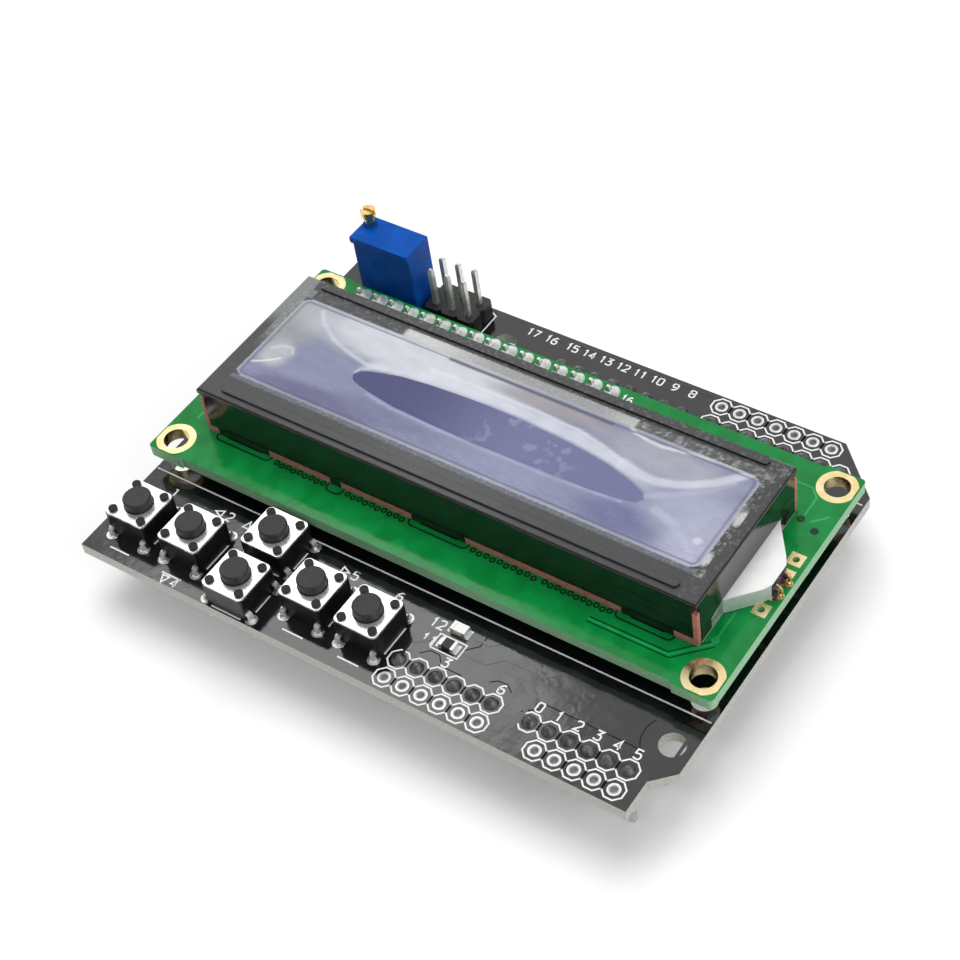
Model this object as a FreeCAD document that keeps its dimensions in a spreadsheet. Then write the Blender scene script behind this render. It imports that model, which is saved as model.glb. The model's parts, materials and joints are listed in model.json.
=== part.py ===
"""Display shield with six keys, drawn in millimetres.

The frame stands on the tips of the stacking pins: the origin is below the middle of the
black board, +X runs along the display, +Y from the keys to the trimmer and +Z up.
Sketches are drawn from the front left corner of the black board.
"""
import FreeCAD
import Part
import Sketcher
import math
import os
import re

# Sizes that can be set by themselves
SIZES = {
    # Black board, with the step and the cut corner on its right side
    "board_w": 80.0, "board_d": 57.6, "board_t": 1.6, "step_w": 2.54, "step_y": 4.3,
    "corner_cut": 6.5, "pitch": 2.54, "pad_hole_r": 0.5, "pin_w": 0.64, "pin_gap": 0.05,
    "pin_tip": 0.3, "tip_angle": 25.0,
    # Hole pattern of the controller board below
    "host_w": 68.58, "host_y": 2.09, "row_y": 2.54, "row_span": 48.26, "power_x": 33.02,
    "analog_x": 50.8, "low_x": 45.72, "high_x": 23.88, "power_pins": 6, "analog_pins": 6,
    "port_pins": 8, "spare_front": 2.86, "spare_back": 3.03, "spare_low_pads": 7,
    "host_hole_r": 1.6, "host_hole_a_x": 66.04, "host_hole_a_y": 7.62, "host_hole_b_x": 15.24,
    "host_hole_b_y": 50.8, "host_hole_c_y": 35.56,
    # Moulded pin strips: pins reach down to the table and a little above the board
    "strip_h": 2.54, "strip_d": 2.5, "strip_notch": 0.4, "pin_tail": 6.0, "pin_stub": 0.55,
    # Display board on its header
    "lcd_w": 80.0, "lcd_d": 36.0, "lcd_t": 1.6, "lcd_gap": 2.54, "lcd_y": 14.1,
    "lcd_corner_w": 5.2, "lcd_recess": 0.3, "lcd_round": 0.5,
    "lcd_hole_inset": 2.5, "lcd_hole_r": 1.6, "plating": 0.05, "ring_r": 2.5,
    "ring_flat": 2.3, "lcd_row_x": 8.0, "lcd_row_y": 33.7, "lcd_pins": 16,
    "lcd_pin_top": 1.8, "lcd_pin_tail": 1.5,
    # Folded frame round the glass
    "frame_x": 5.0, "frame_y": 5.72, "frame_w": 70.06, "frame_d": 22.7, "frame_h": 7.23,
    "frame_t": 0.5, "frame_round": 0.35, "window_w": 65.2, "window_d": 14.9, "window_r": 1.0,
    "window_shift": 0.4, "bead_w": 1.2, "bead_h": 0.3, "bead_front": 1.58, "bead_back": 0.97,
    "bead_end": 3.6, "bead_skin": 0.3,
    # Stretches of front and back wall that reach the board, from the frame's left end
    "skirt_a_x": 1.87, "skirt_a_w": 7.83, "skirt_b_x": 19.15, "skirt_b_w": 1.55,
    "skirt_c_x": 31.2, "skirt_c_w": 7.6, "skirt_d_x": 60.1, "skirt_d_w": 6.7,
    "skirt_h": 1.1, "corner_slit": 0.7, "slit_top": 0.8, "tab_tail": 0.8, "tab_gap": 0.1,
    "tab_margin": 1.2,
    # Opening of the right wall, where the light guide comes out
    "side_front": 2.88, "side_slope": 2.5, "side_back": 2.42, "side_lean": 0.6,
    "side_low": 1.85, "side_h": 2.4, "side_high": 2.6, "side_rise": 1.6, "wall_lift": 0.2,
    # Glass, rubber strips and light guide, stacked in the frame
    "fit_gap": 0.1, "glass_t": 1.1, "polariser_t": 0.2, "polariser_edge": 1.6,
    "strip_w": 1.9, "strip_inset": 0.05, "sheet_t": 0.1, "sheet_edge": 0.72,
    "guide_nose_t": 2.26, "nose_reach": 3.75, "nose_y": 11.1, "nose_w": 13.1,
    "nose_tip_y": 17.2,
    "nose_tip_w": 3.2, "nose_cut_x": 0.6, "nose_cut_y": 1.1,
    "lamp_w": 3.2, "lamp_d": 1.2, "lamp_h": 2.0, "lamp_lead_w": 0.4, "lamp_lead_t": 0.3,
    "lamp_lead_z": 0.4, "lamp_lead_in": 0.6, "lamp_lead_out": 0.5, "lamp_lead_side": 1.4,
    "film_w": 67.2, "film_d": 17.2, "film_t": 0.1, "film_r": 1.2, "film_shift": 0.73,
    "square_pad": 1.85, "square_hole_r": 0.42, "square_x": 78.5, "square_mid": 17.58,
    "square_gap": 3.05,
    # Keys: body, cover plate, plunger and dome
    "key_w": 6.0, "key_body_h": 3.4, "key_edge": 0.3, "key_round": 0.6, "cavity_r": 2.2,
    "cavity_floor": 1.3,
    "post_r": 0.55, "post_x": 2.2, "post_top": 0.3, "plate_t": 0.3, "cap_r": 1.75,
    "cap_gap": 0.1, "cap_top": 5.0, "cap_edge": 0.15, "flange_r": 2.0, "flange_t": 0.5,
    "flange_gap": 0.03, "foot_r": 0.9, "dome_r": 1.95, "dome_top_r": 0.8, "dome_h": 0.5,
    "dome_t": 0.1, "foot_gap": 0.02, "lead_w": 0.7, "lead_t": 0.3, "lead_x": 2.5,
    "lead_y": 3.2, "lead_z": 0.9, "lead_tail": 1.4, "lead_slot_gap": 0.1,
    # Trimmer
    "trim_x": 5.2, "trim_y": 50.85, "trim_w": 9.1, "trim_d": 4.75, "trim_h": 11.2,
    "trim_lid_t": 0.9, "trim_lip": 0.25, "trim_foot_h": 1.0, "trim_foot_w": 1.2,
    "screw_x": 1.0, "screw_y": 3.35, "collar_r": 0.9, "collar_h": 0.3, "neck_h": 1.2,
    "screw_r": 1.0, "screw_head_h": 0.9, "screw_slot_w": 0.45, "screw_slot_h": 0.45, "shank_r": 0.65,
    "shank_depth": 2.0, "shank_gap": 0.03, "trim_pin_w": 0.5, "trim_pin_tail": 1.4,
    # Pin header beside the trimmer
    "block_x": 16.2, "block_y": 52.95, "block_pins": 3, "block_pin_top": 8.4,
    "block_pin_tail": 1.4,
    # Chip parts
    "chip_w": 2.0, "chip_d": 1.25, "chip_t": 0.6, "lamp_chip_x": 48.4, "lamp_chip_y": 11.3,
    "lamp_chip_t": 0.8, "resistor_y": 8.9, "ladder_x": 30.0, "ladder_y": 24.0,
    "ladder_pitch": 3.2, "ladder_count": 5, "transistor_x": 56.0, "transistor_w": 2.9,
    "transistor_d": 1.3, "transistor_h": 1.0,
    # Moulded chips: each blob as wide as its shoulder and crown, and two of them
    "blob_r": 6.0, "blob_shoulder_r": 5.1, "blob_crown_r": 3.0, "blob_shoulder_h": 0.7,
    "blob_h": 1.2, "blob_x": 27.0, "blob_pitch": 26.0,
}

# Keys by name: place of the middle, and whether the leads come out left and right
KEYS = {
    "select": (4.95, 6.40, False), "left": (13.17, 6.42, False), "up": (22.47, 10.75, True),
    "down": (22.50, 3.42, True), "right": (31.38, 6.60, False), "reset": (39.45, 6.52, False),
}

# Heights of the faces that the parts stand on
BOARD_Z = "(pin_tail + strip_h)"
TOP_Z = "(pin_tail + strip_h + board_t)"
LCD_Z = "(pin_tail + strip_h + board_t + lcd_gap)"
LCD_TOP = "(pin_tail + strip_h + board_t + lcd_gap + lcd_t)"
LEFT = "(0 - board_w / 2)"
FRONT = "(0 - board_d / 2)"
HOST_X = "(board_w - host_w)"
FRONT_ROW = "(host_y + row_y)"
BACK_ROW = "(host_y + row_y + row_span)"
LCD_ROW = "(lcd_y + lcd_row_y)"
FRAME_Y = "(lcd_y + frame_y)"
FRAME_END = "(frame_x + frame_w)"
NOSE_TIP = "(frame_x + frame_w + nose_reach)"
PIN_HOLE = "(pin_w + 2 * pin_gap)"

# Rows of pins and spare pads of the black board: first pin, row and number of places
PIN_ROWS = {
    "power": (f"{HOST_X} + power_x", FRONT_ROW, "power_pins"),
    "analog": (f"{HOST_X} + analog_x", FRONT_ROW, "analog_pins"),
    "port_low": (f"{HOST_X} + low_x", BACK_ROW, "port_pins"),
    "port_high": (f"{HOST_X} + high_x", BACK_ROW, "port_pins"),
}
SPARE_ROWS = (
    (f"{HOST_X} + power_x", f"{FRONT_ROW} - spare_front", "power_pins"),
    (f"{HOST_X} + analog_x + pitch", f"{FRONT_ROW} - spare_front", "(analog_pins - 1)"),
    (f"{HOST_X} + low_x", f"{BACK_ROW} + spare_back", "spare_low_pads"),
)
LCD_HOLES = [
    (x, y)
    for x in ("lcd_hole_inset", "(lcd_w - lcd_hole_inset)")
    for y in ("(lcd_y + lcd_hole_inset)", "(lcd_y + lcd_d - lcd_hole_inset)")
]

# Square pads for the lamp, two and two about the middle of the guide
SQUARE_PADS = [
    f"(lcd_y + square_mid {side} square_gap / 2 {side} {step} * pitch)"
    for side in "+-" for step in (0, 1)
]

# Stretches of frame wall that reach the board; the long ones end in tabs below it
SKIRTS = [(f"(frame_x + skirt_{name}_x)", f"skirt_{name}_w") for name in "abcd"]
TABS = [
    (f"(frame_x + skirt_{name}_x + tab_margin)", f"(skirt_{name}_w - 2 * tab_margin)")
    for name in "acd"
]
TAB_ROWS = (FRAME_Y, f"({FRAME_Y} + frame_d - frame_t)")

doc = FreeCAD.newDocument("keypad_shield")
sheet = doc.addObject("Spreadsheet::Sheet", "dims")
parts = []


def fill_sheet():
    """Write every size into the sheet as a plain number with an alias."""
    sizes = dict(SIZES)
    for name, (x, y, _turned) in KEYS.items():
        sizes[f"key_{name}_x"] = x
        sizes[f"key_{name}_y"] = y
    for row, (name, size) in enumerate(sizes.items(), start=1):
        sheet.set(f"A{row}", name)
        sheet.set(f"B{row}", str(size))
        sheet.setAlias(f"B{row}", name)
    doc.recompute()


def rule(text):
    """Turn size names into references to the sheet."""
    return re.sub(r"[a-z]\w+", r"dims.\g<0>", str(text))


def value(text):
    """Work out the present number of a rule."""
    return float(sheet.evalExpression(rule(text)))


def place(item, x=LEFT, y=FRONT, z="0", turn=0):
    """Bind an object's placement to the sheet."""
    item.Placement = FreeCAD.Placement(FreeCAD.Vector(), FreeCAD.Rotation(turn, 0, 0))
    for axis, text in zip("xyz", (x, y, z)):
        item.setExpression(f".Placement.Base.{axis}", rule(text))


def new_body(label, z="0", x=LEFT, y=FRONT, turn=0, node=True):
    """Start a body; a node is also written to its own file."""
    body = doc.addObject("PartDesign::Body", label)
    body.Label = label
    body.AllowCompound = True
    place(body, x, y, z, turn)
    if node:
        parts.append(body)
    return body


def new_sketch(body, role="XY_Plane", offset="0"):
    """Attach a sketch to an origin plane of its body, moved along the plane's normal."""
    sketch = body.newObject("Sketcher::SketchObject", f"{body.Label}_sketch")
    plane = next(item for item in body.Origin.OriginFeatures if item.Role == role)
    sketch.AttachmentSupport = (plane, "")
    sketch.MapMode = "FlatFace"
    sketch.setExpression(".AttachmentOffset.Base.z", rule(offset))
    return sketch


def hold_point(sketch, curve, point, x, y):
    """Hold one point of a curve at a place given by two rules."""
    for kind, text in (("DistanceX", x), ("DistanceY", y)):
        held = Sketcher.Constraint(kind, -1, 1, curve, point, value(text))
        index = sketch.addConstraint(held)
        sketch.setExpression(f"Constraints[{index}]", rule(text))


def polygon(sketch, corners):
    """Draw a closed outline through corners given as pairs of rules."""
    points = [FreeCAD.Vector(value(x), value(y), 0) for x, y in corners]
    first = sketch.GeometryCount
    count = len(points)
    for index in range(count):
        sketch.addGeometry(Part.LineSegment(points[index], points[(index + 1) % count]))
    for index, (x, y) in enumerate(corners):
        hold_point(sketch, first + index, 1, x, y)
        before = first + (index - 1) % count
        sketch.addConstraint(Sketcher.Constraint("Coincident", before, 2, first + index, 1))


def rectangle(sketch, x, y, w, d):
    """Draw a rectangle from its low corner and its two sizes."""
    polygon(sketch, [(x, y), (f"{x} + {w}", y), (f"{x} + {w}", f"{y} + {d}"), (x, f"{y} + {d}")])


def square(sketch, x, y, w):
    """Draw a square round its middle."""
    rectangle(sketch, f"{x} - {w} / 2", f"{y} - {w} / 2", w, w)


def circle(sketch, x, y, radius):
    """Draw a circle round its middle."""
    middle = FreeCAD.Vector(value(x), value(y), 0)
    index = sketch.addGeometry(Part.Circle(middle, FreeCAD.Vector(0, 0, 1), value(radius)))
    hold_point(sketch, index, 3, x, y)
    size = sketch.addConstraint(Sketcher.Constraint("Radius", index, value(radius)))
    sketch.setExpression(f"Constraints[{size}]", rule(radius))


def extrude(body, kind, sketch, length, back=False, taper=None):
    """Add a pad or pocket of one length; back turns its direction round."""
    feature = body.newObject(f"PartDesign::{kind}", f"{body.Label}_{kind.lower()}")
    feature.Profile = sketch
    feature.setExpression("Length", rule(length))
    feature.Reversed = back
    if taper:
        feature.setExpression("TaperAngle", rule(taper))
    return feature


def pad(body, sketch, length, back=False, taper=None):
    """Add material from a sketch."""
    return extrude(body, "Pad", sketch, length, back, taper)


def pocket(body, sketch, length, back=False):
    """Cut material under a sketch, or above it when turned back."""
    return extrude(body, "Pocket", sketch, length, back)


def repeat(body, features, sketch, axis, step, count):
    """Repeat features in a row along a sketch axis."""
    row = body.newObject("PartDesign::LinearPattern", f"{body.Label}_row")
    row.Originals = features
    row.Direction = (sketch, [axis])
    row.setExpression("Length", rule(f"{step} * ({count} - 1)"))
    row.setExpression("Occurrences", rule(count))
    body.Tip = row
    return row


def round_edges(body, base, radius, wanted):
    """Round the edges of the last feature for which wanted says yes."""
    doc.recompute()
    names = [f"Edge{index}" for index, edge in enumerate(base.Shape.Edges, 1) if wanted(edge)]
    fillet = body.newObject("PartDesign::Fillet", f"{body.Label}_fillet")
    fillet.Base = (base, names)
    fillet.setExpression("Radius", rule(radius))
    return fillet


def upright(edge):
    """Say whether an edge is straight and stands up."""
    ends = [vertex.Point for vertex in edge.Vertexes]
    return len(ends) == 2 and abs(ends[0].x - ends[1].x) + abs(ends[0].y - ends[1].y) < 1e-6


def revolve(body, outline):
    """Turn an outline of (radius, height) rules about the body's own Z axis."""
    sketch = new_sketch(body, "XZ_Plane")
    polygon(sketch, outline)
    turned = body.newObject("PartDesign::Revolution", f"{body.Label}_turn")
    turned.Profile = sketch
    turned.ReferenceAxis = (sketch, ["V_Axis"])
    turned.Angle = 360
    return turned


def compound(label, items):
    """Gather like pieces in one node."""
    group = doc.addObject("Part::Compound", label)
    group.Label = label
    group.Links = items
    parts.append(group)
    return group


def row_of_holes(body, x, y, size, count, height, square_hole=False):
    """Cut a row of holes one pitch apart along X."""
    sketch = new_sketch(body)
    if square_hole:
        square(sketch, x, y, size)
    else:
        circle(sketch, x, y, size)
    cut = pocket(body, sketch, height, back=True)
    return repeat(body, [cut], sketch, "H_Axis", "pitch", count)


def lead_corners(name):
    """Give the middles of one key's four leads."""
    across, along = "lead_x", "(lead_y + lead_t / 2)"
    if KEYS[name][2]:
        across, along = along, across
    return [
        (f"key_{name}_x {sx} {across}", f"key_{name}_y {sy} {along}")
        for sx in "+-" for sy in "+-"
    ]


def make_shield_board():
    """Black board with its holes and pads."""
    body = new_body("shield_board", BOARD_Z)
    outline = new_sketch(body)
    polygon(outline, [
        ("0", "0"), ("board_w - step_w", "0"), ("board_w - step_w", "step_y"),
        ("board_w", "step_y + step_w"), ("board_w", "board_d - corner_cut"),
        ("board_w - corner_cut", "board_d"), ("0", "board_d"),
    ])
    for x, y in LCD_HOLES:
        circle(outline, x, y, "lcd_hole_r")
    circle(outline, f"{HOST_X} + host_hole_a_x", "host_y + host_hole_a_y", "host_hole_r")
    circle(outline, f"{HOST_X} + host_hole_b_x", "host_y + host_hole_b_y", "host_hole_r")
    circle(outline, f"{HOST_X} + host_hole_a_x", "host_y + host_hole_c_y", "host_hole_r")
    pad(body, outline, "board_t")
    for x, y, count in SPARE_ROWS:
        row_of_holes(body, x, y, "pad_hole_r", count, "board_t")
    for x, y, count in PIN_ROWS.values():
        row_of_holes(body, x, y, PIN_HOLE, count, "board_t", square_hole=True)
    row_of_holes(body, "lcd_row_x", LCD_ROW, PIN_HOLE, "lcd_pins", "board_t", square_hole=True)
    for y in ("block_y", "(block_y + pitch)"):
        row_of_holes(body, "block_x", y, PIN_HOLE, "block_pins", "board_t", square_hole=True)
    row_of_holes(body, "trim_x + trim_w / 2 - pitch", "trim_y + trim_d / 2",
                 "(trim_pin_w + 2 * pin_gap)", "3", "board_t", square_hole=True)
    slots = new_sketch(body)
    for name, (_x, _y, turned) in KEYS.items():
        wide, thick = "(lead_w + lead_slot_gap)", "(lead_t + lead_slot_gap)"
        if turned:
            wide, thick = thick, wide
        for x, y in lead_corners(name):
            rectangle(slots, f"{x} - {wide} / 2", f"{y} - {thick} / 2", wide, thick)
    pocket(body, slots, "board_t", back=True)


def strip_cell(sketch, x, y, depth):
    """Outline of one place of a moulded strip, with its corners cut."""
    left, right = f"{x} - pitch / 2", f"{x} + pitch / 2"
    front, back = f"{y} - {depth} / 2", f"{y} + {depth} / 2"
    polygon(sketch, [
        (f"{left} + strip_notch", front), (f"{right} - strip_notch", front),
        (right, f"{front} + strip_notch"), (right, f"{back} - strip_notch"),
        (f"{right} - strip_notch", back), (f"{left} + strip_notch", back),
        (left, f"{back} - strip_notch"), (left, f"{front} + strip_notch"),
    ])


def make_strip(label, x, y, count, z, depth="strip_d", rows=("0",)):
    """Moulded strip of a pin header, one cell repeated, with its square pin holes."""
    body = new_body(label, z)
    for shift in rows:
        cell = new_sketch(body)
        strip_cell(cell, x, f"({y} + {shift})", depth)
        square(cell, x, f"({y} + {shift})", "pin_w")
        repeat(body, [pad(body, cell, "strip_h")], cell, "H_Axis", "pitch", count)


def make_pins(label, x, y, count, low, high, width="pin_w", rows=("0",)):
    """Square pins with tapered tips, from one height to another."""
    body = new_body(label)
    for shift in rows:
        middle = new_sketch(body, offset=f"{low} + pin_tip")
        square(middle, x, f"({y} + {shift})", width)
        column = pad(body, middle, f"{high} - {low} - 2 * pin_tip")
        top = new_sketch(body, offset=f"{high} - pin_tip")
        square(top, x, f"({y} + {shift})", width)
        point = pad(body, top, "pin_tip", taper="(0 - tip_angle)")
        foot = pad(body, middle, "pin_tip", back=True, taper="(0 - tip_angle)")
        repeat(body, [column, point, foot], middle, "H_Axis", "pitch", count)


def make_stacking_headers():
    """Four strips below the black board, whose pins plug into the controller board."""
    for name, (x, y, count) in PIN_ROWS.items():
        make_strip(f"{name}_header", x, y, count, "pin_tail")
        make_pins(f"{name}_pins", x, y, count, "0", f"{TOP_Z} + pin_stub")


def make_lcd_board():
    """Green display board with corner holes, pin holes and slots for the frame's tabs."""
    body = new_body("lcd_board", LCD_Z)
    outline = new_sketch(body)
    rectangle(outline, "0", "lcd_y", "lcd_w", "lcd_d")
    for x, y in LCD_HOLES:
        circle(outline, x, y, "(lcd_hole_r + plating)")
    for y in SQUARE_PADS:
        circle(outline, "square_x", y, "square_hole_r")
    plate = pad(body, outline, "lcd_t")
    round_edges(body, plate, "lcd_round", upright)
    recess = new_sketch(body)
    for y in ("(lcd_y - lcd_recess)", "(lcd_y + lcd_d - lcd_recess)"):
        rectangle(recess, "lcd_corner_w", y, "(lcd_w - 2 * lcd_corner_w)", "(2 * lcd_recess)")
    pocket(body, recess, "lcd_t", back=True)
    row_of_holes(body, "lcd_row_x", LCD_ROW, PIN_HOLE, "lcd_pins", "lcd_t", square_hole=True)
    slots = new_sketch(body)
    for left, width in TABS:
        for y in TAB_ROWS:
            rectangle(slots, f"{left} - tab_gap", f"{y} - tab_gap",
                      f"({width} + 2 * tab_gap)", "(frame_t + 2 * tab_gap)")
    pocket(body, slots, "lcd_t", back=True)


def make_gold_pads():
    """Plated rings in the corner holes, clipped at the board's edges, and square pads."""
    body = new_body("lcd_gold_pads", LCD_TOP)
    for x, y in LCD_HOLES:
        for offset, back in (("0", False), ("0 - lcd_t", True)):
            flange = new_sketch(body, offset=offset)
            circle(flange, x, y, "ring_r")
            circle(flange, x, y, "lcd_hole_r")
            pad(body, flange, "plating", back=back)
        sleeve = new_sketch(body)
        circle(sleeve, x, y, "(lcd_hole_r + plating)")
        circle(sleeve, x, y, "lcd_hole_r")
        pad(body, sleeve, "lcd_t", back=True)
    edge = new_sketch(body, offset="0 - lcd_t - plating")
    inset = "(lcd_hole_inset - ring_flat)"
    rectangle(edge, "(0 - ring_r)", "(lcd_y - ring_r)", "(lcd_w + 2 * ring_r)", "(lcd_d + 2 * ring_r)")
    rectangle(edge, inset, f"(lcd_y + {inset})", f"(lcd_w - 2 * {inset})", f"(lcd_d - 2 * {inset})")
    pocket(body, edge, "lcd_t + 2 * plating", back=True)
    squares = new_sketch(body)
    for y in SQUARE_PADS:
        square(squares, "square_x", y, "square_pad")
        circle(squares, "square_x", y, "square_hole_r")
    pad(body, squares, "plating")


def slot_outline(sketch, x_low, x_high, y, width):
    """Long slot with round ends along X, drawn as two lines and two half circles."""
    radius = value(f"{width} / 2")
    low, high, mid = value(x_low), value(x_high), value(y)
    up = FreeCAD.Vector(0, 0, 1)
    quarter = math.pi / 2
    ends = []
    for x, start in ((high, -quarter), (low, quarter)):
        around = Part.Circle(FreeCAD.Vector(x, mid, 0), up, radius)
        ends.append(sketch.addGeometry(Part.ArcOfCircle(around, start, start + math.pi)))
    sides = []
    for start, end, y_line in ((high, low, mid + radius), (low, high, mid - radius)):
        line = Part.LineSegment(FreeCAD.Vector(start, y_line, 0), FreeCAD.Vector(end, y_line, 0))
        sides.append(sketch.addGeometry(line))
    loop = (ends[0], sides[0], ends[1], sides[1])
    for index, curve in enumerate(loop):
        after = loop[(index + 1) % len(loop)]
        sketch.addConstraint(Sketcher.Constraint("Tangent", curve, 2, after, 1))
    hold_point(sketch, ends[0], 3, x_high, y)
    hold_point(sketch, ends[1], 3, x_low, y)
    size = sketch.addConstraint(Sketcher.Constraint("Radius", ends[0], radius))
    sketch.setExpression(f"Constraints[{size}]", rule(f"{width} / 2"))


def make_frame():
    """Folded steel frame: top with window and beads, four walls with skirts and tabs."""
    body = new_body("lcd_frame", LCD_TOP)
    outline = new_sketch(body)
    rectangle(outline, "frame_x", FRAME_Y, "frame_w", "frame_d")
    shell = pad(body, outline, "frame_h")
    top = value("frame_h")
    shell = round_edges(body, shell, "frame_round",
                        lambda edge: all(vertex.Point.z > top - 1e-6 for vertex in edge.Vertexes))
    inside = new_sketch(body)
    rectangle(inside, "(frame_x + frame_t)", f"({FRAME_Y} + frame_t)",
              "(frame_w - 2 * frame_t)", "(frame_d - 2 * frame_t)")
    pocket(body, inside, "frame_h - frame_t", back=True)
    middle_x = "(frame_x + frame_w / 2)"
    middle_y = f"({FRAME_Y} + frame_d / 2 + window_shift)"
    window = new_sketch(body)
    rectangle(window, f"({middle_x} - window_w / 2)", f"({middle_y} - window_d / 2)",
              "window_w", "window_d")
    opening = pocket(body, window, "frame_h", back=True)
    corners = [
        (value(f"{middle_x} {sx} window_w / 2"), value(f"{middle_y} {sy} window_d / 2"))
        for sx in "+-" for sy in "+-"
    ]
    round_edges(body, opening, "window_r", lambda edge: upright(edge) and any(
        abs(edge.Vertexes[0].Point.x - x) + abs(edge.Vertexes[0].Point.y - y) < 1e-3
        for x, y in corners))
    ends = ("(frame_x + bead_end)", f"({FRAME_END} - bead_end)")
    for y in (f"({FRAME_Y} + bead_front)", f"({FRAME_Y} + frame_d - bead_back)"):
        bead = new_sketch(body, offset="frame_h")
        slot_outline(bead, *ends, y, "bead_w")
        pad(body, bead, "bead_h")
        hollow = new_sketch(body, offset="frame_h - frame_t")
        slot_outline(hollow, *ends, y, "(bead_w - 2 * bead_skin)")
        pocket(body, hollow, "bead_h", back=True)
    cuts = new_sketch(body, "XZ_Plane", f"0 - {FRAME_Y} - frame_d - frame_t")
    starts = ["(frame_x + frame_t)"] + [f"({left} + {width})" for left, width in SKIRTS]
    stops = [left for left, _width in SKIRTS] + [f"({FRAME_END} - frame_t)"]
    for start, stop in zip(starts, stops):
        rectangle(cuts, start, "0", f"({stop} - {start})", "skirt_h")
    pocket(body, cuts, "frame_d + 2 * frame_t", back=True)
    slits = new_sketch(body)
    for x in ("frame_x", f"({FRAME_END} - corner_slit)"):
        for y in (FRAME_Y, f"({FRAME_Y} + frame_d - corner_slit)"):
            rectangle(slits, x, y, "corner_slit", "corner_slit")
    pocket(body, slits, "frame_h - slit_top", back=True)
    side = new_sketch(body, "YZ_Plane", f"{FRAME_END} - frame_t")
    low, high = f"({FRAME_Y} + side_front)", f"({FRAME_Y} + frame_d - side_back)"
    polygon(side, [
        (FRAME_Y, "0"), (FRAME_Y, "wall_lift"), (low, "wall_lift"), (low, "side_low"),
        (f"({low} + side_slope)", "side_h"), (f"({high} - side_rise)", "side_h"),
        (high, "side_high"), (f"({high} - side_lean)", "wall_lift"),
        (f"({FRAME_Y} + frame_d)", "wall_lift"), (f"({FRAME_Y} + frame_d)", "0"),
    ])
    pocket(body, side, "frame_t", back=True)
    tabs = new_sketch(body)
    for left, width in TABS:
        for y in TAB_ROWS:
            rectangle(tabs, left, y, width, "frame_t")
    pad(body, tabs, "lcd_t + tab_tail", back=True)


def make_strip_edges(body, front, height):
    """Let a rubber strip bulge out to the frame's face between skirts and at the corners."""
    reach = "(corner_slit - 2 * strip_inset)"
    row = f"({FRAME_Y} + strip_inset)"
    if not front:
        row = f"({FRAME_Y} + frame_d - corner_slit + strip_inset)"
    low, high = "(frame_x + strip_inset)", f"({FRAME_END} - strip_inset)"
    feet = new_sketch(body)
    starts = [low] + [f"({left} + {width} + strip_inset)" for left, width in SKIRTS]
    stops = [f"({left} - strip_inset)" for left, _width in SKIRTS] + [high]
    for start, stop in zip(starts, stops):
        rectangle(feet, start, row, f"({stop} - {start})", reach)
    pad(body, feet, "skirt_h - strip_inset")
    posts = new_sketch(body)
    for x in (low, f"({high} - {reach})"):
        rectangle(posts, x, row, reach, reach)
    pad(body, posts, height)


def make_display_stack():
    """Rubber strips, glass, polariser and the film on top."""
    x = "(frame_x + frame_t + fit_gap)"
    width = "(frame_w - 2 * frame_t - 2 * fit_gap)"
    y = f"({FRAME_Y} + frame_t + fit_gap)"
    depth = "(frame_d - 2 * frame_t - 2 * fit_gap)"
    glass_top = f"({LCD_TOP} + frame_h - frame_t - polariser_t)"
    inner_y = f"({y} + strip_w + fit_gap)"
    inner_d = f"({depth} - 2 * strip_w - 2 * fit_gap)"
    flats = {
        "lcd_glass_front": (x, y, width, depth, "glass_t", f"({glass_top} - glass_t)"),
        "lcd_glass_rear": (x, inner_y, width, inner_d, "glass_t", f"({glass_top} - 2 * glass_t)"),
        "front_polariser": (f"({x} + polariser_edge)", f"({y} + polariser_edge)",
                            f"({width} - 2 * polariser_edge)", f"({depth} - 2 * polariser_edge)",
                            "polariser_t", glass_top),
        "contact_strip_front": (x, y, width, "strip_w",
                                "(frame_h - frame_t - polariser_t - glass_t)", LCD_TOP),
        "contact_strip_back": (x, f"({y} + {depth} - strip_w)", width, "strip_w",
                               "(frame_h - frame_t - polariser_t - glass_t)", LCD_TOP),
    }
    for label, (left, low, w, d, t, z) in flats.items():
        body = new_body(label, z)
        sketch = new_sketch(body)
        rectangle(sketch, left, low, w, d)
        pad(body, sketch, t)
        if label.startswith("contact"):
            make_strip_edges(body, label.endswith("front"), t)
    film = new_body("protective_film", f"{LCD_TOP} + frame_h")
    flat = new_sketch(film)
    rectangle(flat, "(frame_x + frame_w / 2 - film_w / 2)",
              f"({FRAME_Y} + frame_d / 2 - film_d / 2 + film_shift)", "film_w", "film_d")
    cover = pad(film, flat, "film_t")
    round_edges(film, cover, "film_r", upright)


def nose_outline():
    """Corners of the guide's nose beyond the wall, from front to back."""
    corner = f"({NOSE_TIP} - nose_cut_x)"
    front, back = "(lcd_y + nose_tip_y - nose_tip_w / 2)", "(lcd_y + nose_tip_y + nose_tip_w / 2)"
    return [
        (FRAME_END, "(lcd_y + nose_y)"), (corner, f"({front} - nose_cut_y)"), (NOSE_TIP, front),
        (NOSE_TIP, back), (corner, f"({back} + nose_cut_y)"),
        (FRAME_END, "(lcd_y + nose_y + nose_w)"),
    ]


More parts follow.
